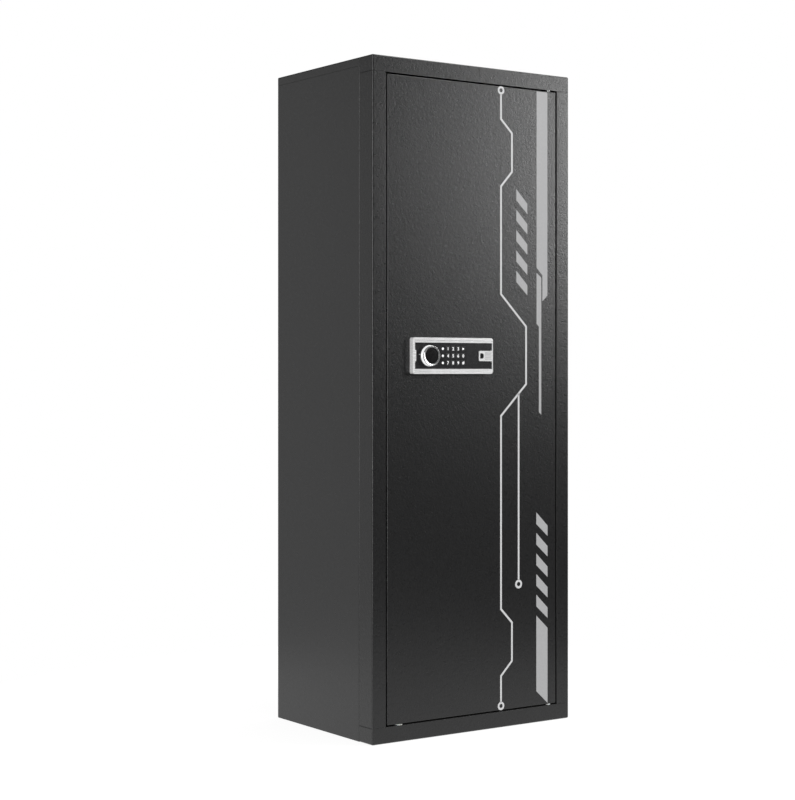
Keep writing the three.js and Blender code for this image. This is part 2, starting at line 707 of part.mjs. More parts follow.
// Sliding carriage: an upright with a flange for the side bolts, and an arm forked over a crank pin.
function boltCarriage() {
  const uprightLeft = KNOB.x - 75;
  const uprightRight = uprightLeft + 24;
  const reach = SIDE_BOLT_SPREAD + 14;
  const forkX = KNOB.x + CRANK_OFFSET;
  const flangeHoles = [-1, 1].map((side) =>
    bar(
      3 + GAP, uprightRight - 10, uprightRight + 10, "x", [0, BOLT_Y, LOCK_Z + side * SIDE_BOLT_SPREAD],
      16,
    ),
  );
  const plateOf = (x0, x1, z0, z1) => slab(x0, x1, CARRIAGE_FRONT, CARRIAGE_BACK, z0, z1);
  const whole = join(
    plateOf(uprightLeft, uprightRight, LOCK_Z - reach, LOCK_Z + reach),
    slab(
      uprightRight - SHEET, uprightRight, CARRIAGE_FRONT, BOLT_Y + 5, LOCK_Z - reach, LOCK_Z + reach,
    ),
    plateOf(uprightLeft, forkX + 6.5, LOCK_Z + 14.5, LOCK_Z + 25),
    plateOf(forkX - 6.3, forkX + 6.3, LOCK_Z + 2.8, LOCK_Z + 15),
  );
  const fork = slab(
    forkX - SLOT_HALF, forkX + SLOT_HALF, CARRIAGE_FRONT - 5, CARRIAGE_BACK + 5, LOCK_Z - 5,
    LOCK_Z + 14,
  );
  return cut(whole, fork, ...flangeHoles);
}

function sideBolt(z) {
  const flange = KNOB.x - 75 + 24;
  const profile = [
    [0, -DOOR_X + 0.5],
    [BOLT_RADIUS - 1, -DOOR_X + 0.5],
    [BOLT_RADIUS, -DOOR_X + 1.5],
    [BOLT_RADIUS, flange - SHEET - GAP],
    [3, flange - SHEET - GAP],
    [3, flange + 6],
    [0, flange + 6],
  ];
  return turned(profile, "x", [0, BOLT_Y, z]);
}

// A rod forked over its crank pin, ending in a round bolt at the door's edge.
function lockRod(side) {
  const x = KNOB.x + side * ROD_OFFSET;
  const edge = side > 0 ? DOOR_HIGH - 0.5 : DOOR_LOW + 0.5;
  const pinZ = LOCK_Z - side * CRANK_OFFSET;
  const heel = pinZ - side * 8;
  const boltFrom = edge - side * 44;
  const strap = slab(
    x - 6, x + 6, ROD_FRONT, ROD_BACK, Math.min(heel, boltFrom + side * 4),
    Math.max(heel, boltFrom + side * 4),
  );
  const forkInner = KNOB.x + side * 2.5;
  const head = slab(
    Math.min(forkInner, x), Math.max(forkInner, x), ROD_FRONT, ROD_BACK, pinZ - 8, pinZ + 8,
  );
  const slotOuter = KNOB.x + side * (CRANK_RADIUS + CRANK_PIN + 0.6);
  const slot = slab(
    Math.min(KNOB.x, slotOuter), Math.max(KNOB.x, slotOuter), ROD_FRONT - 5, ROD_BACK + 5,
    pinZ - SLOT_HALF, pinZ + SLOT_HALF,
  );
  const end = bar(BOLT_RADIUS, Math.min(boltFrom, edge), Math.max(boltFrom, edge), "z", [x, BOLT_Y, 0]);
  return join(cut(join(strap, head), slot), end);
}

const SOLENOID = { from: KNOB.x + 32, to: KNOB.x + 60, y: (CAM.front + CAM.back) / 2 };

function addBoltWork() {
  const place = [KNOB.x, 0, LOCK_Z];
  add(
    "knob_base_ring", ring(6, KNOB.radius, FACE_FRONT - 2.9, FACE_FRONT - GAP, "y", place, 36),
    chrome(),
  );
  add("knob_grip", knobGrip(), chrome());
  add("knob_cap", bar(KNOB.cap, KNOB.front + 1.2, KNOB.front + 2.7, "y", place, 36), blackPlastic());
  add("spindle_cam", spindleCam(), zinc());
  add("bolt_carriage", boltCarriage(), zinc());
  add("side_bolt_upper", sideBolt(LOCK_Z + SIDE_BOLT_SPREAD), chrome());
  add("side_bolt_lower", sideBolt(LOCK_Z - SIDE_BOLT_SPREAD), chrome());
  add("lock_rod_upper", lockRod(1), zinc());
  add("lock_rod_lower", lockRod(-1), zinc());
  const coil = cut(
    slab(SOLENOID.from, SOLENOID.to, SOLENOID.y - 8, SOLENOID.y + 8, LOCK_Z - 9, LOCK_Z + 9),
    bar(2.5 + GAP, SOLENOID.from - 5, SOLENOID.to + 5, "x", [0, SOLENOID.y, LOCK_Z], 16),
  );
  add("solenoid_coil", coil, zinc());
  const tip = KNOB.x + CAM.radius + 0.4;
  add("solenoid_plunger", bar(2.5, tip, SOLENOID.to - 6, "x", [0, SOLENOID.y, LOCK_Z], 16), chrome());
  const boxFront = SKIN_BACK + GAP;
  const battery = slab(BATTERY.x0, BATTERY.x1, boxFront, BATTERY.back, BATTERY.z0, BATTERY.z1);
  add("battery_box", battery, blackPlastic());
}

addCabinet();
addHingeAndStops();
addInterior();
addDoor();
addLockModule();
addBoltWork();

export default safe;
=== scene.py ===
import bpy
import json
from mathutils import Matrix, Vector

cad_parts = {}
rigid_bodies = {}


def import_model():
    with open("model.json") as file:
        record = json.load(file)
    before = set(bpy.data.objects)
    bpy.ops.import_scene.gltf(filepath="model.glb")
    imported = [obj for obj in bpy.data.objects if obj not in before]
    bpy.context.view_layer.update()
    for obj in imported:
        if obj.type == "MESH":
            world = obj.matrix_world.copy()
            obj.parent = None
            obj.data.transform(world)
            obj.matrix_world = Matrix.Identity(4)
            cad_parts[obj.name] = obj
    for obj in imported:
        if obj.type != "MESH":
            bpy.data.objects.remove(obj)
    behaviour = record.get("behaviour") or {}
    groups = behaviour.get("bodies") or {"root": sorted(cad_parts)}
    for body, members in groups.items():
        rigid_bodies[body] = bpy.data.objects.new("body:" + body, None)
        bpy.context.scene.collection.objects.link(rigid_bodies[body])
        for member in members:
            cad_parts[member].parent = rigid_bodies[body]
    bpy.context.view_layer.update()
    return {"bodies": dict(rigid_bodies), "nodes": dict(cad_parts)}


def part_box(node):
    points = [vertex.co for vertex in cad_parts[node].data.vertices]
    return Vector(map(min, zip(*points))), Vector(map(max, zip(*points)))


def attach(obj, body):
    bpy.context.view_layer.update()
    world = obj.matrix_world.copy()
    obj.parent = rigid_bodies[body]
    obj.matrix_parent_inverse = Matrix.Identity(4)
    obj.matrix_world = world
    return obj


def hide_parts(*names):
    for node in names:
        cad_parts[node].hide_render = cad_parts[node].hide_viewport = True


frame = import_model()

import json
import math

import bmesh
import bpy
from mathutils import Vector

MM = 0.001
pieces = []

# ---- Driving dimensions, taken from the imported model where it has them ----


def corners(node):
    """A node's lowest and highest corners in millimetres."""
    low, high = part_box(node)
    return [v / MM for v in low], [v / MM for v in high]


CABINET_LOW, CABINET_HIGH = corners("frame_bottom_rail")[0], corners("top_cap")[1]
LEFT, FRONT, _ = CABINET_LOW
RIGHT, BACK, HEIGHT = CABINET_HIGH
RAIL_HIGH = corners("frame_bottom_rail")[1]
OPEN_LOW = RAIL_HIGH[2]
OPEN_HIGH = HEIGHT - OPEN_LOW
WRAP_END = RAIL_HIGH[1]
OPEN_X = corners("frame_right_stile")[0][0]
JAMB_END = FRONT + 19
DOOR_LOW, DOOR_HIGH = corners("door_skin")
DOOR_X = DOOR_HIGH[0]
DOOR_BOTTOM, DOOR_TOP = DOOR_LOW[2], DOOR_HIGH[2]
DOOR_BACK = DOOR_HIGH[1]
SHEET = 2.0
THIN = 1.5
SEAM = 0.3
LAP = 15.0
CAP_FLANGE = 18.0
DOOR_LIP = 14.0
FOLD = 3.0
PANEL_EDGE = 1.6
DOOR_FOLD = 2.0
OVERSHOOT = 5
PIN_HOLE = 4.3
BUSH_HOLE = 5.5
SPINDLE_HOLE = 6
CYLINDER_HOLE = 8.8
CYLINDER_HOLE_X = 20  # 1.8 mm to the left of the key cylinder's own centre
SIDE_BOLT_SPREAD = 150
ROD_OFFSET = 12
ANCHOR_X, ANCHOR_Z = 120, 1180
PRINT_FACE = 0.12
PRINT_ROOT = 0.02
INDICATOR_PITCH = 14.7

BEZEL_LOW, BEZEL_HIGH = corners("lock_bezel")
BEZEL_FRONT = FRONT - 12
FACE_LOW, FACE_HIGH = corners("lock_face")
FACE_FRONT, FACE_BACK = FACE_LOW[1], FACE_HIGH[1]
LOCK_Z = (BEZEL_LOW[2] + BEZEL_HIGH[2]) / 2
KNOB_LOW, KNOB_HIGH = corners("knob_grip")
KNOB_X = (KNOB_LOW[0] + KNOB_HIGH[0]) / 2
KNOB_FRONT = KNOB_LOW[1]
KNOB_CENTRE = (KNOB_X, 0, LOCK_Z)
KNOB_RADIUS = (corners("knob_base_ring")[1][0] - corners("knob_base_ring")[0][0]) / 2
KNOB_SHOULDER = KNOB_RADIUS - 0.2
KNOB_RIM_RADIUS = KNOB_RADIUS - 1.3
KNOB_WAIST = KNOB_RADIUS - 2.0
KNOB_CAP_RADIUS = corners("knob_cap")[1][0] - KNOB_X
KNOB_SIDES = 96
BOLT_Y = FRONT + 27
BOLT_RADIUS = 6.0
HINGE_X, HINGE_Y = 207.0, FRONT + 8

# ---- Materials ----


class Shader:
    """A node material with one principled shader and short ways to add texture nodes."""

    def __init__(self, name, color, roughness, metallic=0.0, **sockets):
        self.material = bpy.data.materials.new(name)
        self.material.use_nodes = True
        self.tree = self.material.node_tree
        self.shader = self.tree.nodes["Principled BSDF"]
        self.coordinates = self.node("ShaderNodeTexCoord").outputs["Object"]
        self.set("Base Color", (*color, 1.0))
        self.set("Roughness", roughness)
        self.set("Metallic", metallic)
        for socket, value in sockets.items():
            self.set(socket.replace("_", " "), value)

    def set(self, socket, value):
        self.shader.inputs[socket].default_value = value

    def node(self, kind, **properties):
        made = self.tree.nodes.new(kind)
        for key, value in properties.items():
            setattr(made, key, value)
        return made

    def link(self, source, target):
        self.tree.links.new(source, target)

    def stretched(self, scale):
        mapping = self.node("ShaderNodeMapping")
        mapping.inputs["Scale"].default_value = scale
        self.link(self.coordinates, mapping.inputs["Vector"])
        return mapping.outputs["Vector"]

    def noise(self, scale, detail=2.0, roughness=0.5, vector=None):
        made = self.node("ShaderNodeTexNoise")
        made.inputs["Scale"].default_value = scale
        made.inputs["Detail"].default_value = detail
        made.inputs["Roughness"].default_value = roughness
        self.link(vector or self.coordinates, made.inputs["Vector"])
        return made.outputs["Fac"]

    def cells(self, scale, randomness=1.0):
        made = self.node("ShaderNodeTexVoronoi")
        made.inputs["Scale"].default_value = scale
        made.inputs["Randomness"].default_value = randomness
        self.link(self.coordinates, made.inputs["Vector"])
        return made.outputs["Distance"]

    def ramp(self, source, low, high, start=0.3, end=0.7):
        made = self.node("ShaderNodeMapRange")
        made.inputs["From Min"].default_value = start
        made.inputs["From Max"].default_value = end
        made.inputs["To Min"].default_value = low
        made.inputs["To Max"].default_value = high
        self.link(source, made.inputs["Value"])
        return made.outputs["Result"]

    def blend(self, source, first, second, start=0.3, end=0.7):
        made = self.node("ShaderNodeValToRGB")
        made.color_ramp.elements[0].position = start
        made.color_ramp.elements[0].color = (*first, 1.0)
        made.color_ramp.elements[1].position = end
        made.color_ramp.elements[1].color = (*second, 1.0)
        self.link(source, made.inputs["Fac"])
        self.link(made.outputs["Color"], self.shader.inputs["Base Color"])

    def vary_roughness(self, source, low, high):
        self.link(self.ramp(source, low, high), self.shader.inputs["Roughness"])

    def settle_dust(self, roughness):
        """Makes faces that look straight up rougher, as fine dust does."""
        texture = self.shader.inputs["Roughness"].links[0].from_socket
        split = self.node("ShaderNodeSeparateXYZ")
        self.link(self.node("ShaderNodeNewGeometry").outputs["Normal"], split.inputs["Vector"])
        upward = self.ramp(split.outputs["Z"], 0, 1, 0.8, 1.0)
        mix = self.node("ShaderNodeMix")
        mix.inputs["B"].default_value = roughness
        self.link(upward, mix.inputs["Factor"])
        self.link(texture, mix.inputs["A"])
        self.link(mix.outputs["Result"], self.shader.inputs["Roughness"])

    def bump(self, heights, distance, strength=1.0):
        total = heights[0]
        for height in heights[1:]:
            added = self.node("ShaderNodeMath", operation="ADD")
            self.link(total, added.inputs[0])
            self.link(height, added.inputs[1])
            total = added.outputs["Value"]
        made = self.node("ShaderNodeBump")
        made.inputs["Strength"].default_value = strength
        made.inputs["Distance"].default_value = distance
        self.link(total, made.inputs["Height"])
        self.link(made.outputs["Normal"], self.shader.inputs["Normal"])


def shaded(value, factor):
    return tuple(v * factor for v in value)


def powder_coat(name, color, grain):
    """Charcoal powder coat: a fine sandy skin over faint orange peel."""
    coat = Shader(name, color, 0.3, Specular_IOR_Level=0.42)
    sand = coat.noise(430, 2.0, 0.6)
    peel = coat.noise(150, 1.0)
    coat.blend(sand, shaded(color, 0.8), shaded(color, 1.22), 0.35, 0.65)
    coat.vary_roughness(coat.noise(300, 2.0), 0.27, 0.34)
    coat.settle_dust(0.85)
    coat.bump([coat.ramp(sand, 0, 1), coat.ramp(peel, 0, 0.6)], 0.00013, grain)
    return coat.material


def zinc_plate():
    zinc = Shader("zinc_plate", (0.56, 0.57, 0.57), 0.36, 1.0)
    cloud = zinc.noise(60, 4.0, 0.6)
    zinc.blend(cloud, (0.48, 0.49, 0.49), (0.62, 0.62, 0.6), 0.35, 0.65)
    zinc.vary_roughness(zinc.noise(240, 3.0), 0.28, 0.46)
    zinc.bump([zinc.noise(1400, 1.0)], 0.00003, 0.35)
    return zinc.material


def satin_silver(name, color, metallic=0.35):
    silver = Shader(name, shaded(color, 0.98), 0.3, metallic)
    lines = silver.noise(1.0, 3.0, 0.6, silver.stretched((40, 2500, 2500)))
    silver.blend(lines, shaded(color, 0.96), color, 0.35, 0.65)
    silver.vary_roughness(lines, 0.2, 0.34)
    silver.bump([lines], 0.00002, 0.3)
    return silver.material


def turned_steel():
    steel = Shader("turned_steel", (0.7, 0.7, 0.7), 0.24, 1.0)
    rings = steel.noise(1.0, 3.0, 0.7, steel.stretched((3000, 60, 60)))
    steel.blend(rings, (0.58, 0.58, 0.58), (0.78, 0.78, 0.77), 0.35, 0.65)
    steel.vary_roughness(rings, 0.16, 0.34)
    return steel.material


def black_plastic(name, roughness, grain, shade=0.01, shine=0.3):
    color = (shade, shade, shade * 1.08)
    plastic = Shader(name, color, roughness, Specular_IOR_Level=shine)
    speck = plastic.noise(1500, 2.0)
    plastic.blend(plastic.noise(70, 3.0), shaded(color, 0.8), shaded(color, 1.2))
    plastic.vary_roughness(plastic.noise(300, 3.0), roughness * 0.8, roughness * 1.25)
    plastic.bump([speck], 0.00003, grain)
    return plastic.material


def white_nylon():
    nylon = Shader("white_nylon", (0.72, 0.71, 0.67), 0.42, Subsurface_Weight=0.1)
    nylon.blend(nylon.noise(120, 3.0), (0.68, 0.67, 0.62), (0.76, 0.75, 0.71))
    nylon.bump([nylon.noise(900, 2.0)], 0.00004, 0.4)
    return nylon.material


def dark_rubber():
    rubber = Shader("dark_rubber", (0.02, 0.02, 0.02), 0.72)
    rubber.blend(rubber.noise(200, 3.0), (0.016, 0.016, 0.016), (0.027, 0.027, 0.027))
    rubber.bump([rubber.noise(1200, 2.0)], 0.00005, 0.5)
    return rubber.material


def flocked_foam():
    """Closed-cell foam with a short dark nap."""
    foam = Shader("flocked_foam", (0.03, 0.03, 0.032), 0.95, Sheen_Weight=0.35, Sheen_Roughness=0.5)
    nap = foam.noise(1600, 3.0, 0.7)
    foam.blend(nap, (0.018, 0.018, 0.02), (0.05, 0.05, 0.053), 0.35, 0.65)
    foam.bump([nap, foam.ramp(foam.cells(260), 0, 0.8)], 0.00035, 0.6)
    return foam.material


def printed_ink(name, color):
    ink = Shader(name, color, 0.55, Specular_IOR_Level=0.3)
    ink.blend(ink.noise(700, 2.0), shaded(color, 0.93), shaded(color, 1.06), 0.35, 0.65)
    ink.bump([ink.noise(900, 2.0, 0.6)], 0.00008, 0.3)
    return ink.material


def solder_mask():
    mask = Shader("solder_mask", (0.02, 0.13, 0.05), 0.3)
    mask.blend(mask.cells(420, 0.4), (0.015, 0.1, 0.04), (0.03, 0.18, 0.08), 0.2, 0.5)
    mask.bump([mask.cells(420, 0.4)], 0.00005, 0.4)
    return mask.material


COAT = powder_coat("powder_coat_outside", (0.0065, 0.0065, 0.0067), 1.0)
# Painted light: the same powder coat as COAT with a lighter base colour and a weaker grain bump, so the
# sides read lighter; it also covers the top cap, back and bottom panels.
SIDE_COAT_PAINTED_LIGHTER = powder_coat("powder_coat_sides_painted_lighter", (0.0085, 0.0085, 0.0087), 0.12)
ZINC = zinc_plate()
SILVER = satin_silver("satin_silver", (0.66, 0.66, 0.662))
# A darker copy of satin silver: painted shade for the flap's recessed flat.
SILVER_PAINTED_SHADE = satin_silver("satin_silver_painted_shade", (0.5, 0.5, 0.502))
SILVER_BRIGHT = satin_silver("satin_silver_bright", (0.92, 0.92, 0.922), 0.2)
KNOB_RIM = satin_silver("knob_rim_chrome", (0.85, 0.85, 0.855), 1.0)
STEEL = turned_steel()
FACE_BLACK = black_plastic("gloss_black_face", 0.22, 0.1, 0.012, 0.4)
# Near-black: the knob cap's own colour, and painted shade in the knob's waist groove and on the flap's
# notch floor.
BLACK_CAP_AND_PAINTED_SHADE = black_plastic("black_cap_and_painted_shade", 0.3, 0.1, 0.003, 0.15)
KEY_BLACK = black_plastic("matte_black_keys", 0.34, 0.3)
CASE_BLACK = black_plastic("moulded_black_case", 0.5, 0.8)
NYLON = white_nylon()
RUBBER = dark_rubber()
FOAM = flocked_foam()
PRINT = printed_ink("grey_door_print", (0.29, 0.29, 0.293))
PRINT_LIGHT = printed_ink("light_grey_door_print", (0.45, 0.45, 0.454))
GLYPH = printed_ink("white_glyph_print", (0.88, 0.88, 0.88))
GREEN = solder_mask()

# ---- Mesh builders: millimetres in, metres out ----
SMOOTH_UNDER = math.radians(34)


def place(name, bm, material, body, stands_for=()):
    """Turns a bmesh in millimetres into an object that rides on a body."""
    bmesh.ops.remove_doubles(bm, verts=bm.verts, dist=1e-5)
    bmesh.ops.recalc_face_normals(bm, faces=bm.faces)
    bmesh.ops.scale(bm, vec=(MM, MM, MM), verts=bm.verts)
    mesh = bpy.data.meshes.new(name)
    bm.to_mesh(mesh)
    bm.free()
    for face in mesh.polygons:
        face.use_smooth = True
    mesh.set_sharp_from_angle(angle=SMOOTH_UNDER)
    mesh.materials.append(material)
    piece = bpy.data.objects.new(name, mesh)
    bpy.context.scene.collection.objects.link(piece)
    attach(piece, body)
    if stands_for:
        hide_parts(*stands_for)
    pieces.append(piece)
    return piece


def prism(bm, outline, low, high, axis="z"):
    """Adds a solid raised from a closed outline, along one axis."""
    spots = {
        "x": lambda u, v, w: (w, u, v),
        "y": lambda u, v, w: (u, w, v),
        "z": lambda u, v, w: (u, v, w),
    }[axis]
    ends = [[bm.verts.new(spots(u, v, w)) for u, v in outline] for w in (low, high)]
    count = len(outline)
    bm.faces.new(ends[0])
    bm.faces.new(ends[1])
    for i in range(count):
        j = (i + 1) % count
        bm.faces.new((ends[0][i], ends[0][j], ends[1][j], ends[1][i]))


def rounded(points, steps=5):
    """A closed outline from (u, v, radius) corners, with each corner filleted."""
    outline = []
    count = len(points)
    for i, (u, v, radius) in enumerate(points):
        here = Vector((u, v))
        if radius <= 0:
            outline.append((u, v))
            continue
        before = (Vector(points[i - 1][:2]) - here).normalized()
        after = (Vector(points[(i + 1) % count][:2]) - here).normalized()
        half = before.angle(after) / 2
        reach = radius / math.tan(half)
        centre = here + (before + after).normalized() * (radius / math.sin(half))
        start = here + before * reach - centre
        turn = start.angle_signed(here + after * reach - centre)
        for k in range(steps + 1):
            angle = -turn * k / steps
            outline.append((
                centre.x + start.x * math.cos(angle) - start.y * math.sin(angle),
                centre.y + start.x * math.sin(angle) + start.y * math.cos(angle),
            ))
    return outline


def rectangle(u0, u1, v0, v1, radius=0.0, steps=5):
    return rounded([(u0, v0, radius), (u1, v0, radius), (u1, v1, radius), (u0, v1, radius)], steps)


def soft_box(bm, low, high, radius, steps=3, keep=None):
    """Adds a box whose edges are rounded, or only those edges that keep() picks."""
    made = bmesh.ops.create_cube(bm, size=1.0)["verts"]
    for vert in made:
        vert.co = Vector(
            low[k] + (vert.co[k] + 0.5) * (high[k] - low[k]) for k in range(3)
        )
    bm.edges.index_update()
    edges = {edge for vert in made for edge in vert.link_edges}
    if keep:
        edges = {edge for edge in edges if keep(*(vert.co for vert in edge.verts))}
    bmesh.ops.bevel(
        bm, geom=sorted(edges, key=lambda e: e.index), offset=radius, segments=steps,
        profile=0.5, affect="EDGES", clamp_overlap=True,
    )


def soften(bm, radius, keep, steps=3):
    """Rounds the edges that keep() picks."""
    bm.edges.index_update()
    edges = [edge for edge in bm.edges if keep(*(vert.co for vert in edge.verts))]
    bmesh.ops.bevel(
        bm, geom=edges, offset=radius, segments=steps, profile=0.5, affect="EDGES", clamp_overlap=True,
    )


def turned(bm, profile, axis, centre, sides=64):
    """Adds a turned solid from (radius, distance) points that start and end on the axis, or close."""
    spots = {
        "x": lambda a, b, d: (d, centre[1] + a, centre[2] + b),
        "y": lambda a, b, d: (centre[0] + a, d, centre[2] + b),
        "z": lambda a, b, d: (centre[0] + a, centre[1] + b, d),
    }[axis]
    closed = profile[0][0] > 1e-6
    loops = []
    for radius, distance in profile:
        if radius < 1e-6:
            loops.append([bm.verts.new(spots(0, 0, distance))])
            continue
        loops.append([
            bm.verts.new(spots(radius * math.cos(t), radius * math.sin(t), distance))
            for t in (math.tau * k / sides for k in range(sides))
        ])
    pairs = list(zip(loops, loops[1:])) + ([(loops[-1], loops[0])] if closed else [])
    for first, second in pairs:
        for k in range(sides):
            j = (k + 1) % sides
            ring = [
                first[k % len(first)], first[j % len(first)],
                second[j % len(second)], second[k % len(second)],
            ]
            corners_of_face = list(dict.fromkeys(ring))
            if len(corners_of_face) > 2:
                bm.faces.new(corners_of_face)


def bent(profile, radius, steps=4):
    """A turned profile with its inner corners rounded, its ends left where they are."""
    middle = [(r, d, radius) for r, d in profile[1:-1]]
    closed = [(profile[0][0], profile[0][1], 0.0), *middle, (profile[-1][0], profile[-1][1], 0.0)]
    return rounded(closed, steps)


def carve(piece, cutters):
    """Cuts shapes out of a piece. Each cutter is a function that fills a bmesh in millimetres."""
    for fill in cutters:
        bm = bmesh.new()
        fill(bm)
        bmesh.ops.recalc_face_normals(bm, faces=bm.faces)
        bmesh.ops.scale(bm, vec=(MM, MM, MM), verts=bm.verts)
        mesh = bpy.data.meshes.new("cutter")
        bm.to_mesh(mesh)
        bm.free()
        cutter = bpy.data.objects.new("cutter", mesh)
        bpy.context.scene.collection.objects.link(cutter)
        change = piece.modifiers.new("cut", "BOOLEAN")
        change.operation = "DIFFERENCE"
        change.solver = "EXACT"
        change.object = cutter
        graph = bpy.context.evaluated_depsgraph_get()
        result = bpy.data.meshes.new_from_object(piece.evaluated_get(graph))
        piece.modifiers.clear()
        piece.data = result
        bpy.data.objects.remove(cutter)
        bpy.data.meshes.remove(mesh)
    for face in piece.data.polygons:
        face.use_smooth = True
    piece.data.set_sharp_from_angle(angle=SMOOTH_UNDER)
    return piece


def box_cut(x0, x1, y0, y1, z0, z1):
    return lambda bm: prism(bm, rectangle(x0, x1, y0, y1), z0, z1)


def round_cut(radius, start, end, axis, centre, sides=48):
    profile = [(0, start), (radius, start), (radius, end), (0, end)]
    return lambda bm: turned(bm, profile, axis, centre, sides)


def ease(piece, width, segments=2, angle=40):
    """Rounds the sharp edges of a piece or a CAD node with modifiers only."""
    bevel = piece.modifiers.new("ease", "BEVEL")
    bevel.width = width * MM
    bevel.segments = segments
    bevel.limit_method = "ANGLE"
    bevel.angle_limit = math.radians(angle)
    return piece


def settle_normals():
    """Lets each large flat face keep its own normal where it meets a narrow rounded edge."""
    for piece in pieces:
        weigh = piece.modifiers.new("weigh", "WEIGHTED_NORMAL")
        weigh.keep_sharp = True


def dress(node, material, width=0.0):
    """Gives a CAD node its material, and eases its edges over flats freed of stray points."""
    piece = frame["nodes"][node]
    piece.data.materials.clear()
    piece.data.materials.append(material)
    if width:
        weld = piece.modifiers.new("weld", "WELD")
        weld.merge_threshold = 1e-5
        flats = piece.modifiers.new("flats", "DECIMATE")
        flats.decimate_type = "DISSOLVE"
        flats.angle_limit = math.radians(1)
        ease(piece, width, 2, 30).modifiers["ease"].harden_normals = True
    return piece


# ---- Cabinet shell ----


def at(a, b, axis, value):
    """True where both ends of an edge lie at one value along an axis."""
    return abs(a[axis] - value) < 1e-4 and abs(b[axis] - value) < 1e-4


def frame_rail(node, outer_z, open_z):
    """A rail folded from one sheet, with its corner folds rounded and its hollow open to the rear."""
    outward = math.copysign(1, outer_z - open_z)
    low, high = sorted((outer_z, open_z))

    def is_fold(a, b):
        front = at(a, b, 1, FRONT)
        side = at(a, b, 0, LEFT) or at(a, b, 0, RIGHT)
        outer = at(a, b, 2, outer_z)
        return (front and (side or outer)) or (side and outer)

    bm = bmesh.new()
    soft_box(bm, (LEFT, FRONT, low), (RIGHT, WRAP_END, high), FOLD, 4, is_fold)
    piece = place(node + "_folded", bm, COAT, "cabinet", [node])
    inside = sorted((outer_z - outward * SHEET, open_z + outward * SHEET))
    behind = sorted((outer_z - outward * SHEET, open_z - outward * OVERSHOOT))
    walls = (LEFT + SHEET, RIGHT - SHEET)
    carve(piece, [
        box_cut(*walls, FRONT + SHEET, WRAP_END + OVERSHOOT, *inside),
        box_cut(*walls, JAMB_END, WRAP_END + OVERSHOOT, *behind),
        round_cut(PIN_HOLE, open_z - OVERSHOOT, open_z + OVERSHOOT, "z", (HINGE_X, HINGE_Y, 0)),
    ])
    ease(piece, 0.5, 2)


def mirrored(points, side):
    """An outline with its X values on one side of the cabinet, wound the same way."""
    flipped = [(side * x, y, radius) for x, y, radius in points]
    return flipped if side > 0 else flipped[::-1]


def frame_stile(side, node):
    outline = rounded(mirrored([
        (RIGHT, FRONT, FOLD),
        (RIGHT, WRAP_END, 0.4),
        (RIGHT - SHEET, WRAP_END, 0.4),
        (RIGHT - SHEET, FRONT + SHEET, 0.8),
        (OPEN_X + SHEET, FRONT + SHEET, 0.8),
        (OPEN_X + SHEET, JAMB_END, 0.4),
        (OPEN_X, JAMB_END, 0.4),
        (OPEN_X, FRONT, 1.2),
    ], side), 4)
    bm = bmesh.new()
    prism(bm, outline, OPEN_LOW + SEAM, OPEN_HIGH - SEAM)
    piece = place(node + "_folded", bm, COAT, "cabinet", [node])
    ease(piece, 0.35, 2, 60)


def side_panel(side, node):
    lap = RIGHT - SHEET - SEAM
    outline = rounded(mirrored([
        (RIGHT, WRAP_END + SEAM, PANEL_EDGE),
        (RIGHT, BACK, FOLD),
        (RIGHT - LAP, BACK, 0.4),
        (RIGHT - LAP, BACK - SHEET, 0.4),
        (RIGHT - SHEET, BACK - SHEET, 0.8),
        (RIGHT - SHEET, WRAP_END + LAP, 0.2),
        (lap - THIN, WRAP_END + LAP, 0.4),
        (lap - THIN, WRAP_END - LAP, 0.4),
        (lap, WRAP_END - LAP, 0.4),
        (lap, WRAP_END + SEAM, 0.0),
    ], side), 4)
    bm = bmesh.new()
    prism(bm, outline, 0, HEIGHT - CAP_FLANGE - SEAM)
    piece = place(node + "_folded", bm, SIDE_COAT_PAINTED_LIGHTER, "cabinet", [node])
    notch = sorted((side * (lap - 5), side * (RIGHT - SHEET)))
    carve(piece, [box_cut(*notch, FRONT, WRAP_END + SEAM, -1, SHEET + SEAM)])
    ease(piece, 0.35, 2, 60)


def top_cap():
    front = WRAP_END + SEAM
    low = HEIGHT - CAP_FLANGE

    def is_fold(a, b):
        outer = at(a, b, 2, HEIGHT)
        side = at(a, b, 0, LEFT) or at(a, b, 0, RIGHT)
        rear = at(a, b, 1, BACK)
        return (outer and (side or rear)) or (side and rear)

    def is_front_edge(a, b):
        return at(a, b, 1, front) and (at(a, b, 0, LEFT) or at(a, b, 0, RIGHT))

    bm = bmesh.new()
    soft_box(bm, (LEFT, front, low), (RIGHT, BACK, HEIGHT), FOLD, 4, is_fold)
    soften(bm, PANEL_EDGE, is_front_edge)
    piece = place("top_cap_folded", bm, SIDE_COAT_PAINTED_LIGHTER, "cabinet", ["top_cap"])
    walls = (LEFT + SHEET, RIGHT - SHEET)
    carve(piece, [
        box_cut(*walls, front - OVERSHOOT, BACK - SHEET, low - OVERSHOOT, HEIGHT - SHEET),
    ])
    ease(piece, 0.35, 2)
    for side in (-1, 1):
        strip = bmesh.new()
        outer = RIGHT - SHEET - SEAM
        left, right = sorted((side * (outer - THIN), side * outer))
        start = (left, front + LAP, low - LAP)
        soft_box(strip, start, (right, BACK - SHEET - 3, HEIGHT - SHEET - SEAM), 0.4)
        word = "left" if side < 0 else "right"
        place(f"top_cap_lap_{word}", strip, SIDE_COAT_PAINTED_LIGHTER, "cabinet")


def corner_weld(side, word, z):
    """Ground weld that closes the joint between a stile and a rail on the cabinet's side."""
    deep, reach = 1, SEAM + 0.6
    bm = bmesh.new()
    outline = rounded(mirrored([
        (RIGHT, FRONT + FOLD, 0),
        (RIGHT, WRAP_END, 0.4),
        (RIGHT - deep, WRAP_END, 0.4),
        (RIGHT - deep, FRONT + FOLD, 0),
    ], side), 4)
    prism(bm, outline, z - reach, z + reach)
    place(f"corner_weld_{word}", bm, COAT, "cabinet")


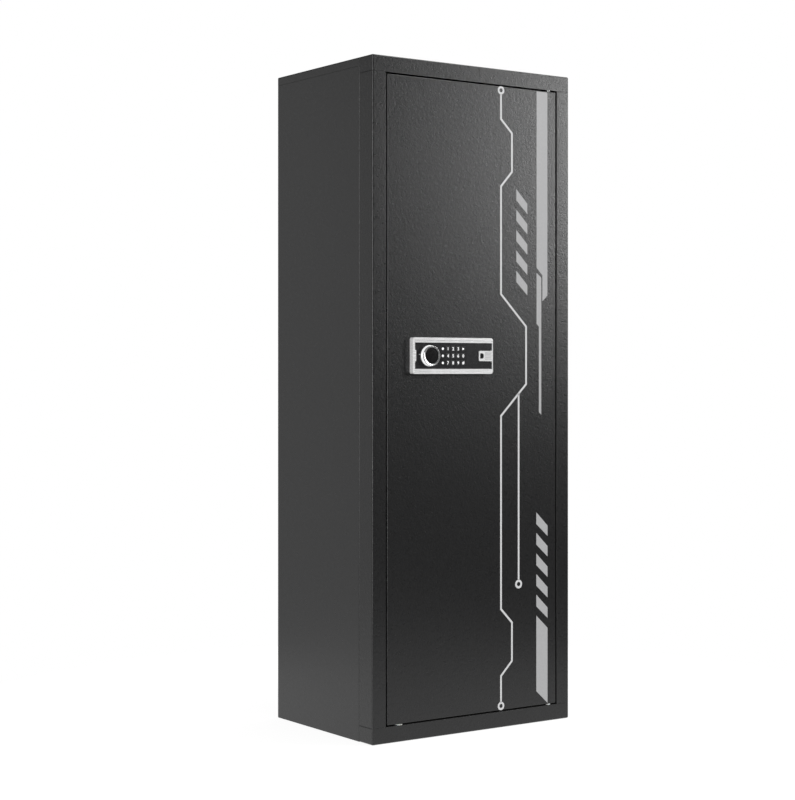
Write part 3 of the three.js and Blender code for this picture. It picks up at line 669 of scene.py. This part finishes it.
def cabinet():
    for side, word in ((-1, "left"), (1, "right")):
        corner_weld(side, word + "_upper", OPEN_HIGH)
        corner_weld(side, word + "_lower", OPEN_LOW)
    frame_rail("frame_top_rail", HEIGHT, OPEN_HIGH)
    frame_rail("frame_bottom_rail", 0.0, OPEN_LOW)
    for side, word in ((-1, "left"), (1, "right")):
        frame_stile(side, f"frame_{word}_stile")
        side_panel(side, f"{word}_side_panel")
        dress(f"shelf_bracket_{word}", ZINC, 0.4)
    top_cap()
    dress("back_panel", SIDE_COAT_PAINTED_LIGHTER, 0.3)
    dress("bottom_panel", SIDE_COAT_PAINTED_LIGHTER, 0.3)
    dress("shelf", COAT, 0.5)
    dress("rack_bracket", COAT, 0.5)
    dress("door_stop_upper", COAT, 0.4)
    dress("door_stop_lower", COAT, 0.4)


# ---- Small fittings on the cabinet ----


def pan_screw(name, centre, toward, body, radius=4.0, height=1.8):
    """A pan-head screw with a cross recess. Its head stands along Y towards +1 or -1."""
    x, y, z = centre
    top = y + toward * height
    profile = [
        (0, y), (radius, y), (radius, y + toward * height * 0.35),
        (radius * 0.72, top - toward * 0.2), (0, top),
    ]
    bm = bmesh.new()
    turned(bm, bent(profile, 0.5, 3), "y", (x, 0, z), 32)
    piece = place(name, bm, STEEL, body)
    floor = sorted((top + toward, top - toward * 0.9))
    arm, half = radius * 0.55, radius * 0.13
    carve(piece, [
        box_cut(x - arm, x + arm, *floor, z - half, z + half),
        box_cut(x - half, x + half, *floor, z - arm, z + arm),
    ])


def hinge_fittings():
    pins = (("hinge_pin_upper", OPEN_HIGH, -1), ("hinge_pin_lower", OPEN_LOW, 1))
    for node, open_z, into_door in pins:
        into_rail = -into_door
        profile = [
            (0, open_z + into_door * 14),
            (4, open_z + into_door * 14),
            (4, open_z + into_rail * 2.3),
            (5.5, open_z + into_rail * 2.3),
            (5.5, open_z + into_rail * 12),
            (0, open_z + into_rail * 12),
        ]
        bm = bmesh.new()
        turned(bm, bent(profile, 0.6), "z", (HINGE_X, HINGE_Y, 0), 48)
        place(node + "_turned", bm, STEEL, "cabinet", [node])
    bm = bmesh.new()
    washer_low, washer_high = OPEN_LOW + SEAM, DOOR_BOTTOM - SEAM
    ring = [(PIN_HOLE, washer_low), (5.4, washer_low), (5.4, washer_high), (PIN_HOLE, washer_high)]
    turned(bm, ring, "z", (HINGE_X, HINGE_Y, 0), 48)
    place("hinge_washer_ring", bm, NYLON, "cabinet", ["hinge_washer_lower"])
    bush = [
        (PIN_HOLE, DOOR_TOP - 14), (5.7, DOOR_TOP - 14), (5.7, DOOR_TOP - 2.3),
        (5.2, DOOR_TOP - 2.3), (5.2, DOOR_TOP + 1.5), (PIN_HOLE, DOOR_TOP + 1.5),
    ]
    bm = bmesh.new()
    turned(bm, bush, "z", (HINGE_X, HINGE_Y, 0), 48)
    place("hinge_bush_flanged", bm, CASE_BLACK, "door", ["hinge_bush_upper"])


def glide_pad():
    """A nylon block with a lead-in ramp, which lifts the door's free corner as it closes."""
    low, high = corners("door_glide_pad")
    ramp = rounded([
        (low[1], low[2], 0.2), (high[1], low[2], 0.3), (high[1], high[2], 0.4),
        (low[1] + 4, high[2], 0.8), (low[1], low[2] + 1.0, 0.3),
    ], 4)
    bm = bmesh.new()
    prism(bm, ramp, low[0], high[0], "x")
    ease(place("door_glide_ramp", bm, NYLON, "cabinet", ["door_glide_pad"]), 0.4, 3, 60)


def bumper(name, z):
    """A domed rubber button on a door stop."""
    low, high = corners("door_stop_upper")
    seat = high[1] - THIN
    x = (low[0] + high[0]) / 2
    bm = bmesh.new()
    dome = [(0, seat), (6, seat), (5.4, seat - 2.2), (0, seat - 2.4)]
    turned(bm, bent(dome, 0.9), "y", (x, 0, z), 40)
    place(name, bm, RUBBER, "cabinet")


def anchor_plug(name, x):
    """A black cap in a wall-anchor hole of the back panel."""
    seat = corners("back_panel")[1][1]
    profile = [
        (0, seat - 6), (4.6, seat - 6), (4.6, seat + 0.05),
        (7.5, seat + 0.05), (7.5, seat + 1.2), (0, seat + 1.8),
    ]
    bm = bmesh.new()
    turned(bm, bent(profile, 0.4, 3), "y", (x, 0, ANCHOR_Z), 40)
    place(name, bm, CASE_BLACK, "cabinet")


def barrel_rack():
    low, high = corners("barrel_rack")
    slots, pitch, notch = 5, 88.0, 16.0
    seat = low[1] + 32
    points = [(high[0], low[1], 5), (high[0], high[1], 3), (low[0], high[1], 3), (low[0], low[1], 5)]
    for i in range(slots):
        x = (i - (slots - 1) / 2) * pitch
        points += [(x - notch, low[1], 5), (x - notch, seat + notch - 0.01, 15.6)]
        points += [(x + notch, seat + notch - 0.01, 15.6), (x + notch, low[1], 5)]
    bm = bmesh.new()
    prism(bm, rounded(points, 8), low[2], high[2])
    piece = place("barrel_rack_foam", bm, FOAM, "cabinet", ["barrel_rack"])
    ease(piece, 2.2, 4, 60)


def floor_mat():
    low, high = corners("floor_mat")
    bm = bmesh.new()
    prism(bm, rectangle(low[0], high[0], low[1], high[1], 4), low[2], high[2])
    piece = place("floor_mat_foam", bm, FOAM, "cabinet", ["floor_mat"])
    ease(piece, 2.5, 4, 60)


def cabinet_fittings():
    hinge_fittings()
    glide_pad()
    bumper("door_bumper_upper", HEIGHT - 45)
    bumper("door_bumper_lower", 47)
    anchor_plug("anchor_plug_left", -ANCHOR_X)
    anchor_plug("anchor_plug_right", ANCHOR_X)
    barrel_rack()
    floor_mat()
    rack = corners("rack_bracket")
    for i, x in enumerate((-150, 0, 150)):
        pan_screw(f"rack_screw_{i + 1}", (x, rack[1][1] - THIN, rack[0][2] + 16), -1, "cabinet")


# ---- Door leaf ----


def door_pan():
    """The folded door: rounded face edges, a lip round the back, holes for the lock and bolts."""

    def is_fold(a, b):
        along_depth = abs(a[1] - b[1]) > 1
        return along_depth or at(a, b, 1, FRONT)

    bm = bmesh.new()
    soft_box(bm, (-DOOR_X, FRONT, DOOR_BOTTOM), (DOOR_X, DOOR_BACK, DOOR_TOP), DOOR_FOLD, 4, is_fold)
    piece = place("door_skin_folded", bm, COAT, "door", ["door_skin"])
    low, high = DOOR_BOTTOM, DOOR_TOP
    bolt = BOLT_RADIUS + 0.5
    inner, lip = DOOR_X - SHEET, DOOR_X - DOOR_LIP
    edge = (-DOOR_X - OVERSHOOT, -DOOR_X + OVERSHOOT)
    top = (high - OVERSHOOT, high + OVERSHOOT)
    bottom = (low - OVERSHOOT, low + OVERSHOOT)
    face = (FRONT - OVERSHOOT, FRONT + OVERSHOOT)
    carve(piece, [
        box_cut(-inner, inner, FRONT + SHEET, DOOR_BACK - SHEET, low + SHEET, high - SHEET),
        box_cut(-lip, lip, FRONT + 10, DOOR_BACK + OVERSHOOT, low + DOOR_LIP, high - DOOR_LIP),
        round_cut(bolt, *edge, "x", (0, BOLT_Y, LOCK_Z + SIDE_BOLT_SPREAD)),
        round_cut(bolt, *edge, "x", (0, BOLT_Y, LOCK_Z - SIDE_BOLT_SPREAD)),
        round_cut(bolt, *top, "z", (KNOB_X + ROD_OFFSET, BOLT_Y, 0)),
        round_cut(bolt, *bottom, "z", (KNOB_X - ROD_OFFSET, BOLT_Y, 0)),
        round_cut(BUSH_HOLE, *top, "z", (HINGE_X, HINGE_Y, 0)),
        round_cut(PIN_HOLE, *bottom, "z", (HINGE_X, HINGE_Y, 0)),
        round_cut(SPINDLE_HOLE, *face, "y", (KNOB_X, 0, LOCK_Z)),
        round_cut(CYLINDER_HOLE, *face, "y", (CYLINDER_HOLE_X, 0, LOCK_Z)),
    ])
    ease(piece, 0.35, 2)


def ink(name, outlines, material):
    """Flat print, standing a little proud of the door's face."""
    bm = bmesh.new()
    for outline in outlines:
        prism(bm, outline, FRONT - PRINT_FACE, FRONT + PRINT_ROOT, "y")
    place(name, bm, material, "door")


def stroke(points, width):
    """The mitred outline of an open line of straight stretches."""
    spots = [Vector(p) for p in points]
    left, right = [], []
    for i, spot in enumerate(spots):
        before = (spot - spots[i - 1]).normalized() if i else None
        after = (spots[i + 1] - spot).normalized() if i + 1 < len(spots) else None
        along = ((before or after) + (after or before)).normalized()
        across = Vector((-along.y, along.x))
        reach = width / 2 / (across.dot(Vector((-(before or after).y, (before or after).x))))
        left.append(tuple(spot + across * reach))
        right.append(tuple(spot - across * reach))
    return left + right[::-1]


def slanted_bar(left, right, top, left_height, right_height, drop=30.0):
    return [
        (left, top), (right, top - drop), (right, top - drop - right_height), (left, top - left_height),
    ]


def door_print():
    """Generic circuit-line decoration: a stepped trace with ring ends, a branch, and slanted bars."""
    line, lane, middle_lane, outer_lane = 4.4, 71.4, 101.0, 139.8
    trace = [
        (lane, 1347), (lane, 1294), (middle_lane, 1265.5), (middle_lane, 1183), (lane, 1151),
        (lane, 921.5), (outer_lane, 853.5), (outer_lane, 730), (lane, 662.5), (lane, 251.5),
        (middle_lane, 221), (middle_lane, 139), (lane, 109.5), (lane, 53.5),
    ]
    branch_x, branch_top, branch_low = 119.3, 709.5, 310.5
    ink("door_print_lines", [
        stroke(trace, line),
        stroke([(branch_x, branch_top), (branch_x, branch_low)], line),
    ], PRINT_LIGHT)
    rings = bmesh.new()
    for x, z, outer in ((lane, 1355, 8.8), (lane, 45.7, 8.8), (branch_x, 301.8, 9.4)):
        inner, back, face = outer / 2, FRONT + PRINT_ROOT, FRONT - PRINT_FACE
        ring = [(inner, back), (outer, back), (outer, face), (inner, face)]
        turned(rings, ring, "y", (x, 0, z), 48)
    place("door_print_rings", rings, PRINT_LIGHT, "door")
    upper = [slanted_bar(113.0, 143.2, 1147.3 - 43.7 * i, 24.0, 22.0) for i in range(5)]
    lower = [slanted_bar(168.2, 199.4, 453.2 - 44.4 * i, 25.4, 22.6) for i in range(5)]
    long_bar = slanted_bar(168.2, 199.4, 230.5, 163.2, 162.8, 28.8)
    top_edge = DOOR_TOP - 2.2
    tall_bar = [
        (168.8, top_edge), (199.0, top_edge), (199.0, 921.5),
        (185.0, 908.7), (185.0, 965.0), (168.8, 980.8),
    ]
    tail_bar = [
        (168.8, 970.1), (181.9, 959.5), (181.9, 663.2), (175.3, 669.6), (175.3, 853.5), (168.8, 860.0),
    ]
    ink("door_print_bars", [*upper, *lower, long_bar, tall_bar, tail_bar], PRINT)


def battery_case():
    """Battery box with a ribbed lid that shows through the door's back panel."""
    low, high = corners("battery_box")
    bm = bmesh.new()
    soft_box(bm, low, (high[0], high[1] - 1.2, high[2]), 1.6, 4)
    place("battery_box_case", bm, CASE_BLACK, "door", ["battery_box"])
    x0, x1, z0, z1 = low[0] + 4, high[0] - 4, low[2] + 4, high[2] - 4
    lid = bmesh.new()
    prism(lid, rectangle(x0, x1, z0, z1, 3), high[1] - 1.3, high[1] - 0.6, "y")
    ease(place("battery_lid", lid, CASE_BLACK, "door"), 0.25, 2, 60)
    middle, half, pitch = (x0 + x1) / 2, 14, 3.2
    for i in range(5):
        rib = bmesh.new()
        z = z1 - 8 - pitch * i
        soft_box(rib, (middle - half, high[1] - 0.8, z), (middle + half, high[1], z + 1.5), 0.3)
        place(f"battery_lid_rib_{i + 1}", rib, CASE_BLACK, "door")


def door_leaf():
    door_pan()
    door_print()
    battery_case()
    dress("door_back_panel", COAT, 0.4)
    dress("door_stiffener", COAT, 0.4)
    dress("rod_guide_upper", ZINC, 0.4)
    dress("rod_guide_lower", ZINC, 0.4)
    seat = corners("door_back_panel")[1][1]
    edge = DOOR_X - DOOR_LIP + 3.5
    inset, gaps = 40, 5
    for i in range(gaps + 1):
        z = DOOR_BOTTOM + inset + i * (DOOR_TOP - DOOR_BOTTOM - 2 * inset) / gaps
        pan_screw(f"back_panel_screw_left_{i + 1}", (-edge, seat, z), 1, "door", 3.4, 1.5)
        pan_screw(f"back_panel_screw_right_{i + 1}", (edge, seat, z), 1, "door", 3.4, 1.5)


# ---- Lock module ----


def lock_bezel():
    """Satin silver frame with rounded corners, a bevelled rim and a fine groove along each band."""
    x0, x1 = BEZEL_LOW[0], BEZEL_HIGH[0]
    z0, z1 = BEZEL_LOW[2], BEZEL_HIGH[2]
    back = FRONT - 0.3
    bm = bmesh.new()
    prism(bm, rectangle(x0, x1, z0, z1, 4.0, 6), BEZEL_FRONT, back, "y")
    rim = [e for e in bm.edges if at(e.verts[0].co, e.verts[1].co, 1, BEZEL_FRONT)]
    bmesh.ops.bevel(
        bm, geom=rim, offset=1.6, segments=4, profile=0.5, affect="EDGES", clamp_overlap=True,
    )
    piece = place("lock_bezel_frame", bm, SILVER, "door", ["lock_bezel"])
    fx0, fx1 = FACE_LOW[0] - SEAM, FACE_HIGH[0] + SEAM
    fz0, fz1 = FACE_LOW[2] - SEAM, FACE_HIGH[2] + SEAM
    ledge, ahead = 3, BEZEL_FRONT - OVERSHOOT
    groove = (x0 + 3.4, x1 - 1.6)
    carve(piece, [
        box_cut(fx0, fx1, ahead, FACE_BACK + SEAM, fz0, fz1),
        box_cut(fx0 + ledge, fx1 - ledge, BEZEL_FRONT, back + OVERSHOOT, fz0 + ledge, fz1 - ledge),
        box_cut(*groove, ahead, BEZEL_FRONT + 1.8, z1 - 7.6, z1 - 5.4),
        box_cut(*groove, ahead, BEZEL_FRONT + 0.8, z0 + 4.4, z0 + 5.4),
    ])
    ease(piece, 0.3, 2)
    tab = bmesh.new()
    half = 11.7
    outline = rectangle(fx0 - 0.5, fx0 + 3.2, LOCK_Z - half, LOCK_Z + half, 1.2)
    prism(tab, outline, BEZEL_FRONT, FACE_BACK - 0.2, "y")
    ease(place("lock_bezel_tab", tab, SILVER, "door"), 0.5, 3, 60)


def notch_outline(x, half_wide, half_high, left_round, right_round):
    """The finger notch, with its right-hand end nearly a half circle."""
    return rounded([
        (x - half_wide, LOCK_Z - half_high, left_round),
        (x + half_wide, LOCK_Z - half_high, right_round),
        (x + half_wide, LOCK_Z + half_high, right_round),
        (x - half_wide, LOCK_Z + half_high, left_round),
    ], 8)


def flap():
    """Flap over the emergency key: a rimmed silver plate with a finger notch, hinged at its right; its
    notch floor and recessed flat carry painted shade.
    """
    low, high = corners("key_cover")
    pivot = high[0] - 1.0
    middle = (low[1] + high[1]) / 2
    outline = rounded([
        (low[0], low[2], 2.0), (pivot, low[2], 0.2), (pivot, high[2], 0.2), (low[0], high[2], 2.0),
    ])
    bm = bmesh.new()
    prism(bm, outline, low[1], high[1], "y")
    turned(bm, [(0, low[2]), (1.0, low[2]), (1.0, high[2]), (0, high[2])], "z", (pivot, middle, 0), 24)
    piece = place("key_flap_plate", bm, SILVER, "key_flap", ["key_cover"])
    notch_x = low[0] + 7.6
    recess = rectangle(notch_x + 7.2, pivot - 1.6, low[2] + 2.2, high[2] - 2.2, 1.0)
    notch = notch_outline(notch_x, 5.2, 5.8, 1.6, 4.6)
    carve(piece, [
        lambda cutter: prism(cutter, recess, low[1] - 1, low[1] + 0.45, "y"),
        lambda cutter: prism(cutter, notch, low[1] - 1, high[1] - 0.5, "y"),
    ])
    ease(piece, 0.25, 2)
    # A near-black sheet on the notch floor: painted shade in the finger notch.
    insert = bmesh.new()
    pad = notch_outline(notch_x, 5.0, 5.6, 1.5, 4.4)
    prism(insert, pad, high[1] - 0.55, high[1] - 0.3, "y")
    place("key_flap_notch_shade_sheet", insert, BLACK_CAP_AND_PAINTED_SHADE, "key_flap")
    # A darker copy of the flap's silver on the recessed flat: painted shade in the recess.
    flat = bmesh.new()
    outline = rectangle(notch_x + 7.5, pivot - 1.9, low[2] + 2.5, high[2] - 2.5, 0.8)
    prism(flat, outline, low[1] + 0.3, low[1] + 0.5, "y")
    place("key_flap_flat", flat, SILVER_PAINTED_SHADE, "key_flap")


def glyph_mesh(text, size):
    """The outline of a generic numeral or sign from the default font, as a flat mesh 0.1 deep."""
    curve = bpy.data.curves.new("glyph", "FONT")
    curve.body = text
    curve.size = size
    curve.align_x = "CENTER"
    curve.align_y = "CENTER"
    curve.extrude = 0.05
    curve.offset = 0.16
    curve.resolution_u = 4
    holder = bpy.data.objects.new("glyph", curve)
    bpy.context.scene.collection.objects.link(holder)
    graph = bpy.context.evaluated_depsgraph_get()
    mesh = bpy.data.meshes.new_from_object(holder.evaluated_get(graph))
    bpy.data.objects.remove(holder)
    bpy.data.curves.remove(curve)
    return mesh


def glyph(name, text, x, z, front, body, size=9.2):
    """A printed sign standing 0.1 mm proud of a face that looks towards -Y."""
    mesh = glyph_mesh(text, size)
    bm = bmesh.new()
    bm.from_mesh(mesh)
    bpy.data.meshes.remove(mesh)
    xs = [v.co.x for v in bm.verts]
    ys = [v.co.y for v in bm.verts]
    middle = Vector(((min(xs) + max(xs)) / 2, (min(ys) + max(ys)) / 2, 0))
    for vert in bm.verts:
        flat = vert.co - middle
        vert.co = Vector((x + flat.x, front - 0.04 - flat.z, z + flat.y))
    place(name, bm, GLYPH, body)


def keys():
    """Twelve keys with rounded caps, rubber feet and printed signs."""
    signs = {"hash": "#"}
    for node in sorted(n for n in frame["nodes"] if n + "_button" in frame["bodies"]):
        low, high = corners(node)
        x, z = (low[0] + high[0]) / 2, (low[2] + high[2]) / 2
        body = node + "_button"
        rim = 0.8
        bm = bmesh.new()
        start = (low[0] + rim, low[1], low[2] + rim)
        soft_box(bm, start, (high[0] - rim, high[1], high[2] - rim), 1.0, 4)
        place(node + "_cap", bm, KEY_BLACK, body, [node])
        foot = bmesh.new()
        soft_box(foot, (low[0], high[1] - 1.2, low[2]), high, 0.3)
        place(node + "_foot", foot, RUBBER, body)
        label = node.removeprefix("key_")
        if label == "start":
            arrow = bmesh.new()
            outline = rounded([(x - 2.2, z - 2.9, 0.4), (x + 3.0, z, 0.4), (x - 2.2, z + 2.9, 0.4)], 3)
            prism(arrow, outline, low[1] - 0.1, low[1] + 0.02, "y")
            place(node + "_sign", arrow, GLYPH, body)
        else:
            glyph(node + "_sign", signs.get(label, label), x, z, low[1], body)


def indicators():
    """Three round lights behind one dark lens."""
    dress("indicator_lens", FACE_BLACK, 0.2)
    low, high = corners("indicator_lens")
    x = (low[0] + high[0]) / 2
    for i in (-1, 0, 1):
        dot = bmesh.new()
        profile = [(0, low[1] + 0.02), (2.7, low[1] + 0.02), (2.7, low[1] - 0.1), (0, low[1] - 0.1)]
        turned(dot, profile, "y", (x, 0, LOCK_Z + i * INDICATOR_PITCH), 32)
        place(f"indicator_dot_{i + 2}", dot, GLYPH, "door")


def knob_turning(name, profile, steps, material, body, stands_for=()):
    """A piece turned about the knob's own axis."""
    bm = bmesh.new()
    turned(bm, rounded(profile, steps), "y", KNOB_CENTRE, KNOB_SIDES)
    place(name, bm, material, body, stands_for)


def knob_base():
    low, high = corners("knob_base_ring")
    bore = 6
    profile = [
        (bore, low[1], 0), (KNOB_RADIUS, low[1], 0.8),
        (KNOB_RADIUS, high[1], 0), (bore, high[1], 0),
    ]
    stands_for = ["knob_base_ring"]
    knob_turning("knob_base_flange", profile, 5, SILVER_BRIGHT, "door", stands_for)


def knob_skirt():
    """The tapered grip behind the dark band."""
    front, rear = KNOB_FRONT + 4.8, KNOB_HIGH[1]
    profile = [
        (0, front, 0), (KNOB_WAIST + 0.1, front, 0), (KNOB_RIM_RADIUS, KNOB_FRONT + 5.2, 0.6),
        (KNOB_SHOULDER, rear, 0.3), (0, rear, 0),
    ]
    knob_turning("knob_skirt", profile, 5, SILVER_BRIGHT, "knob", ["knob_grip"])


def knob_band():
    """The fluted band at the knob's waist, black as painted shade in the groove: every second line of
    its points is drawn in.
    """
    flute_depth = 0.5
    rear = KNOB_FRONT + 4.7
    profile = [
        (KNOB_CAP_RADIUS, KNOB_FRONT + 3.1), (KNOB_WAIST, KNOB_FRONT + 1.7),
        (KNOB_WAIST, rear), (KNOB_CAP_RADIUS, rear),
    ]
    bm = bmesh.new()
    turned(bm, profile, "y", KNOB_CENTRE, KNOB_SIDES)
    for vert in bm.verts:
        across = Vector((vert.co.x - KNOB_X, 0, vert.co.z - LOCK_Z))
        flute = round(math.atan2(across.z, across.x) / math.tau * KNOB_SIDES) % 2
        if abs(across.length - KNOB_WAIST) < 0.2 and flute:
            vert.co -= across.normalized() * flute_depth
    place("knob_band_fluted", bm, BLACK_CAP_AND_PAINTED_SHADE, "knob")


def knob_rim():
    """The bright rim, dished towards the cap, with a hub behind it."""
    front, cap, rim = KNOB_FRONT, KNOB_CAP_RADIUS, KNOB_RIM_RADIUS
    profile = [
        (0, front + 3, 0), (cap, front + 3, 0), (cap, front + 0.7, 0.2), (rim - 0.4, front, 0.3),
        (rim, front + 0.4, 0.3), (rim, front + 1.6, 0.2), (cap + 0.2, front + 1.6, 0),
        (cap + 0.2, front + 3, 0), (cap - 2, front + 4.6, 0), (0, front + 4.6, 0),
    ]
    knob_turning("knob_rim", profile, 4, KNOB_RIM, "knob")


def knob_cap():
    front, radius = KNOB_FRONT, KNOB_CAP_RADIUS - 0.3
    profile = [
        (0, front + 2.7, 0), (radius, front + 2.7, 0), (radius, front + 1.5, 0.4), (0, front + 1.2, 0),
    ]
    knob_turning("knob_cap_disc", profile, 4, BLACK_CAP_AND_PAINTED_SHADE, "knob", ["knob_cap"])


def knob_index():
    """A short mark on the lock face, just left of the knob."""
    right = KNOB_X - KNOB_RADIUS - 0.6
    bm = bmesh.new()
    outline = rectangle(right - 4.2, right, LOCK_Z + 2.3, LOCK_Z + 3.2, 0.3)
    prism(bm, outline, FACE_FRONT - 0.1, FACE_FRONT + PRINT_ROOT, "y")
    place("knob_index_mark", bm, PRINT_LIGHT, "door")


def knob():
    knob_base()
    knob_skirt()
    knob_band()
    knob_rim()
    knob_cap()
    knob_index()


def emergency_key():
    """Lock cylinder under the flap, with a plug that has a keyway."""
    low, high = corners("key_cylinder")
    centre = ((low[0] + high[0]) / 2, 0, LOCK_Z)
    outer, bore = (high[0] - low[0]) / 2, 5.3
    body = [(bore, low[1], 0.3), (outer, low[1], 0.6), (outer, high[1], 0.3), (bore, high[1], 0)]
    bm = bmesh.new()
    turned(bm, rounded(body, 3), "y", centre, 64)
    place("key_cylinder_body", bm, STEEL, "door", ["key_cylinder"])
    plug_low, plug_high = corners("key_plug")
    tail = plug_high[1] - 2.5
    bm = bmesh.new()
    plug = [(0, plug_low[1], 0), (5, plug_low[1], 0.4), (5, tail, 0), (0, tail, 0)]
    turned(bm, rounded(plug, 3), "y", centre, 48)
    piece = place("key_plug_turned", bm, STEEL, "key_plug", ["key_plug"])
    x = centre[0]
    carve(piece, [
        box_cut(x - 0.9, x + 0.3, plug_low[1] - 1, plug_low[1] + 9, LOCK_Z - 3.6, LOCK_Z + 3.6),
        box_cut(x - 0.5, x + 0.9, plug_low[1] - 1, plug_low[1] + 9, LOCK_Z - 1.4, LOCK_Z + 1.2),
    ])
    ease(piece, 0.15, 2)
    lever = bmesh.new()
    outline = rectangle(x - 5, x + 5, plug_low[2], plug_high[2], 4.6, 6)
    prism(lever, outline, plug_high[1] - 3, plug_high[1], "y")
    ease(place("key_plug_lever", lever, ZINC, "key_plug"), 0.4, 2, 60)


def bolts():
    """Turned ends on the moving bolts and rods; their straps and carriage are the CAD solids."""
    for node in ("side_bolt_upper", "side_bolt_lower"):
        low, high = corners(node)
        z = (low[2] + high[2]) / 2
        neck = high[0] - 8.3
        profile = [
            (0, low[0], 0), (BOLT_RADIUS - 1, low[0], 0.2), (BOLT_RADIUS, low[0] + 1, 0.6),
            (BOLT_RADIUS, neck, 0.3), (3, neck, 0), (3, high[0], 0.5), (0, high[0], 0),
        ]
        bm = bmesh.new()
        turned(bm, rounded(profile, 3), "x", (0, BOLT_Y, z), 64)
        place(node + "_turned", bm, STEEL, "bolt_carriage", [node])
    dress("bolt_carriage", ZINC, 0.4)
    dress("lock_rod_upper", ZINC, 0.4)
    dress("lock_rod_lower", ZINC, 0.4)
    dress("spindle_cam", ZINC, 0.3)
    dress("solenoid_coil", ZINC, 0.6)
    dress("solenoid_plunger", STEEL, 0.3)


def lock_module():
    lock_bezel()
    dress("lock_face", FACE_BLACK)
    dress("circuit_board", GREEN, 0.2)
    keys()
    indicators()
    knob()
    flap()
    emergency_key()
    bolts()


# ---- Studio: metres and watts per steradian and square metre ----
FLOOR_RADIUS = 1.1
FLOOR_DROP = 0.0008
SOFT_LIGHT = 0.7
FLAGGED = 0.12


def floor():
    """A pale round floor, wide enough to catch the shadow and to show in the coat near the ground."""
    bm = bmesh.new()
    bmesh.ops.create_circle(bm, cap_ends=True, segments=96, radius=FLOOR_RADIUS)
    mesh = bpy.data.meshes.new("studio_floor")
    bm.to_mesh(mesh)
    bm.free()
    pale = Shader("pale_floor", (0.2, 0.2, 0.2), 0.9, Emission_Strength=0.85)
    pale.set("Emission Color", (1.0, 1.0, 1.0, 1.0))
    pale.set("Specular IOR Level", 0.0)
    mesh.materials.append(pale.material)
    ground = bpy.data.objects.new("studio_floor", mesh)
    ground.location.z = -FLOOR_DROP
    bpy.context.scene.collection.objects.link(ground)


def softbox(name, spot, aim, width, height, radiance):
    """An area light whose brightness stays the same when its size changes."""
    light = bpy.data.lights.new(name, "AREA")
    light.shape = "RECTANGLE"
    light.size, light.size_y = width, height
    light.energy = radiance * math.pi * width * height
    lamp = bpy.data.objects.new(name, light)
    lamp.location = spot
    lamp.rotation_euler = (Vector(aim) - Vector(spot)).to_track_quat("-Z", "Y").to_euler()
    bpy.context.scene.collection.objects.link(lamp)


def white_room():
    """White for the lens and nearly so for soft light, but dim in reflections."""
    world = bpy.data.worlds.new("white_studio")
    world.use_nodes = True
    nodes, links = world.node_tree.nodes, world.node_tree.links
    path = nodes.new("ShaderNodeLightPath")
    sky = nodes["Background"]
    sky.inputs["Color"].default_value = (1.0, 1.0, 1.0, 1.0)
    strength = None
    changes = {"Is Camera Ray": 1.0 - SOFT_LIGHT, "Is Glossy Ray": FLAGGED - SOFT_LIGHT}
    for ray, change in changes.items():
        add = nodes.new("ShaderNodeMath")
        add.operation = "MULTIPLY_ADD"
        add.inputs[1].default_value = change
        add.inputs[2].default_value = SOFT_LIGHT
        links.new(path.outputs[ray], add.inputs[0])
        if strength is not None:
            links.new(strength, add.inputs[2])
        strength = add.outputs["Value"]
    links.new(strength, sky.inputs["Strength"])
    bpy.context.scene.world = world


def studio():
    floor()
    white_room()
    softbox("key_upper_right", (2.45, -2.05, 1.68), (0.1, -0.2, 1.2), 0.9, 1.3, 13.0)
    softbox("edge_light_left", (-3.5, -2.25, 1.2), (-0.26, -0.18, 0.8), 2.3, 2.4, 7.5)
    softbox("fill_left_rear", (-2.3, 2.6, 0.75), (-0.26, 0.0, 0.7), 2.6, 3.0, 0.56)
    softbox("overhead", (1.3, -0.7, 3.0), (0.0, -0.2, 0.8), 1.2, 1.2, 6)
    bpy.context.scene.view_settings.view_transform = "Standard"


def camera():
    """Standing level with the lock, 35 degrees to the left of straight on."""
    lens = bpy.data.cameras.new("camera")
    lens.sensor_width = 36.0
    lens.lens = 81.65
    lens.shift_x = 0.00075
    lens.shift_y = -0.0364
    eye = bpy.data.objects.new("camera", lens)
    eye.location = (-2.3199, -3.2216, 0.7583)
    eye.rotation_euler = (math.radians(90), 0, math.radians(-34.9365))
    bpy.context.scene.collection.objects.link(eye)
    bpy.context.scene.camera = eye


camera()
cabinet()
cabinet_fittings()
door_leaf()
lock_module()
settle_normals()
studio()

bpy.context.view_layer.update()
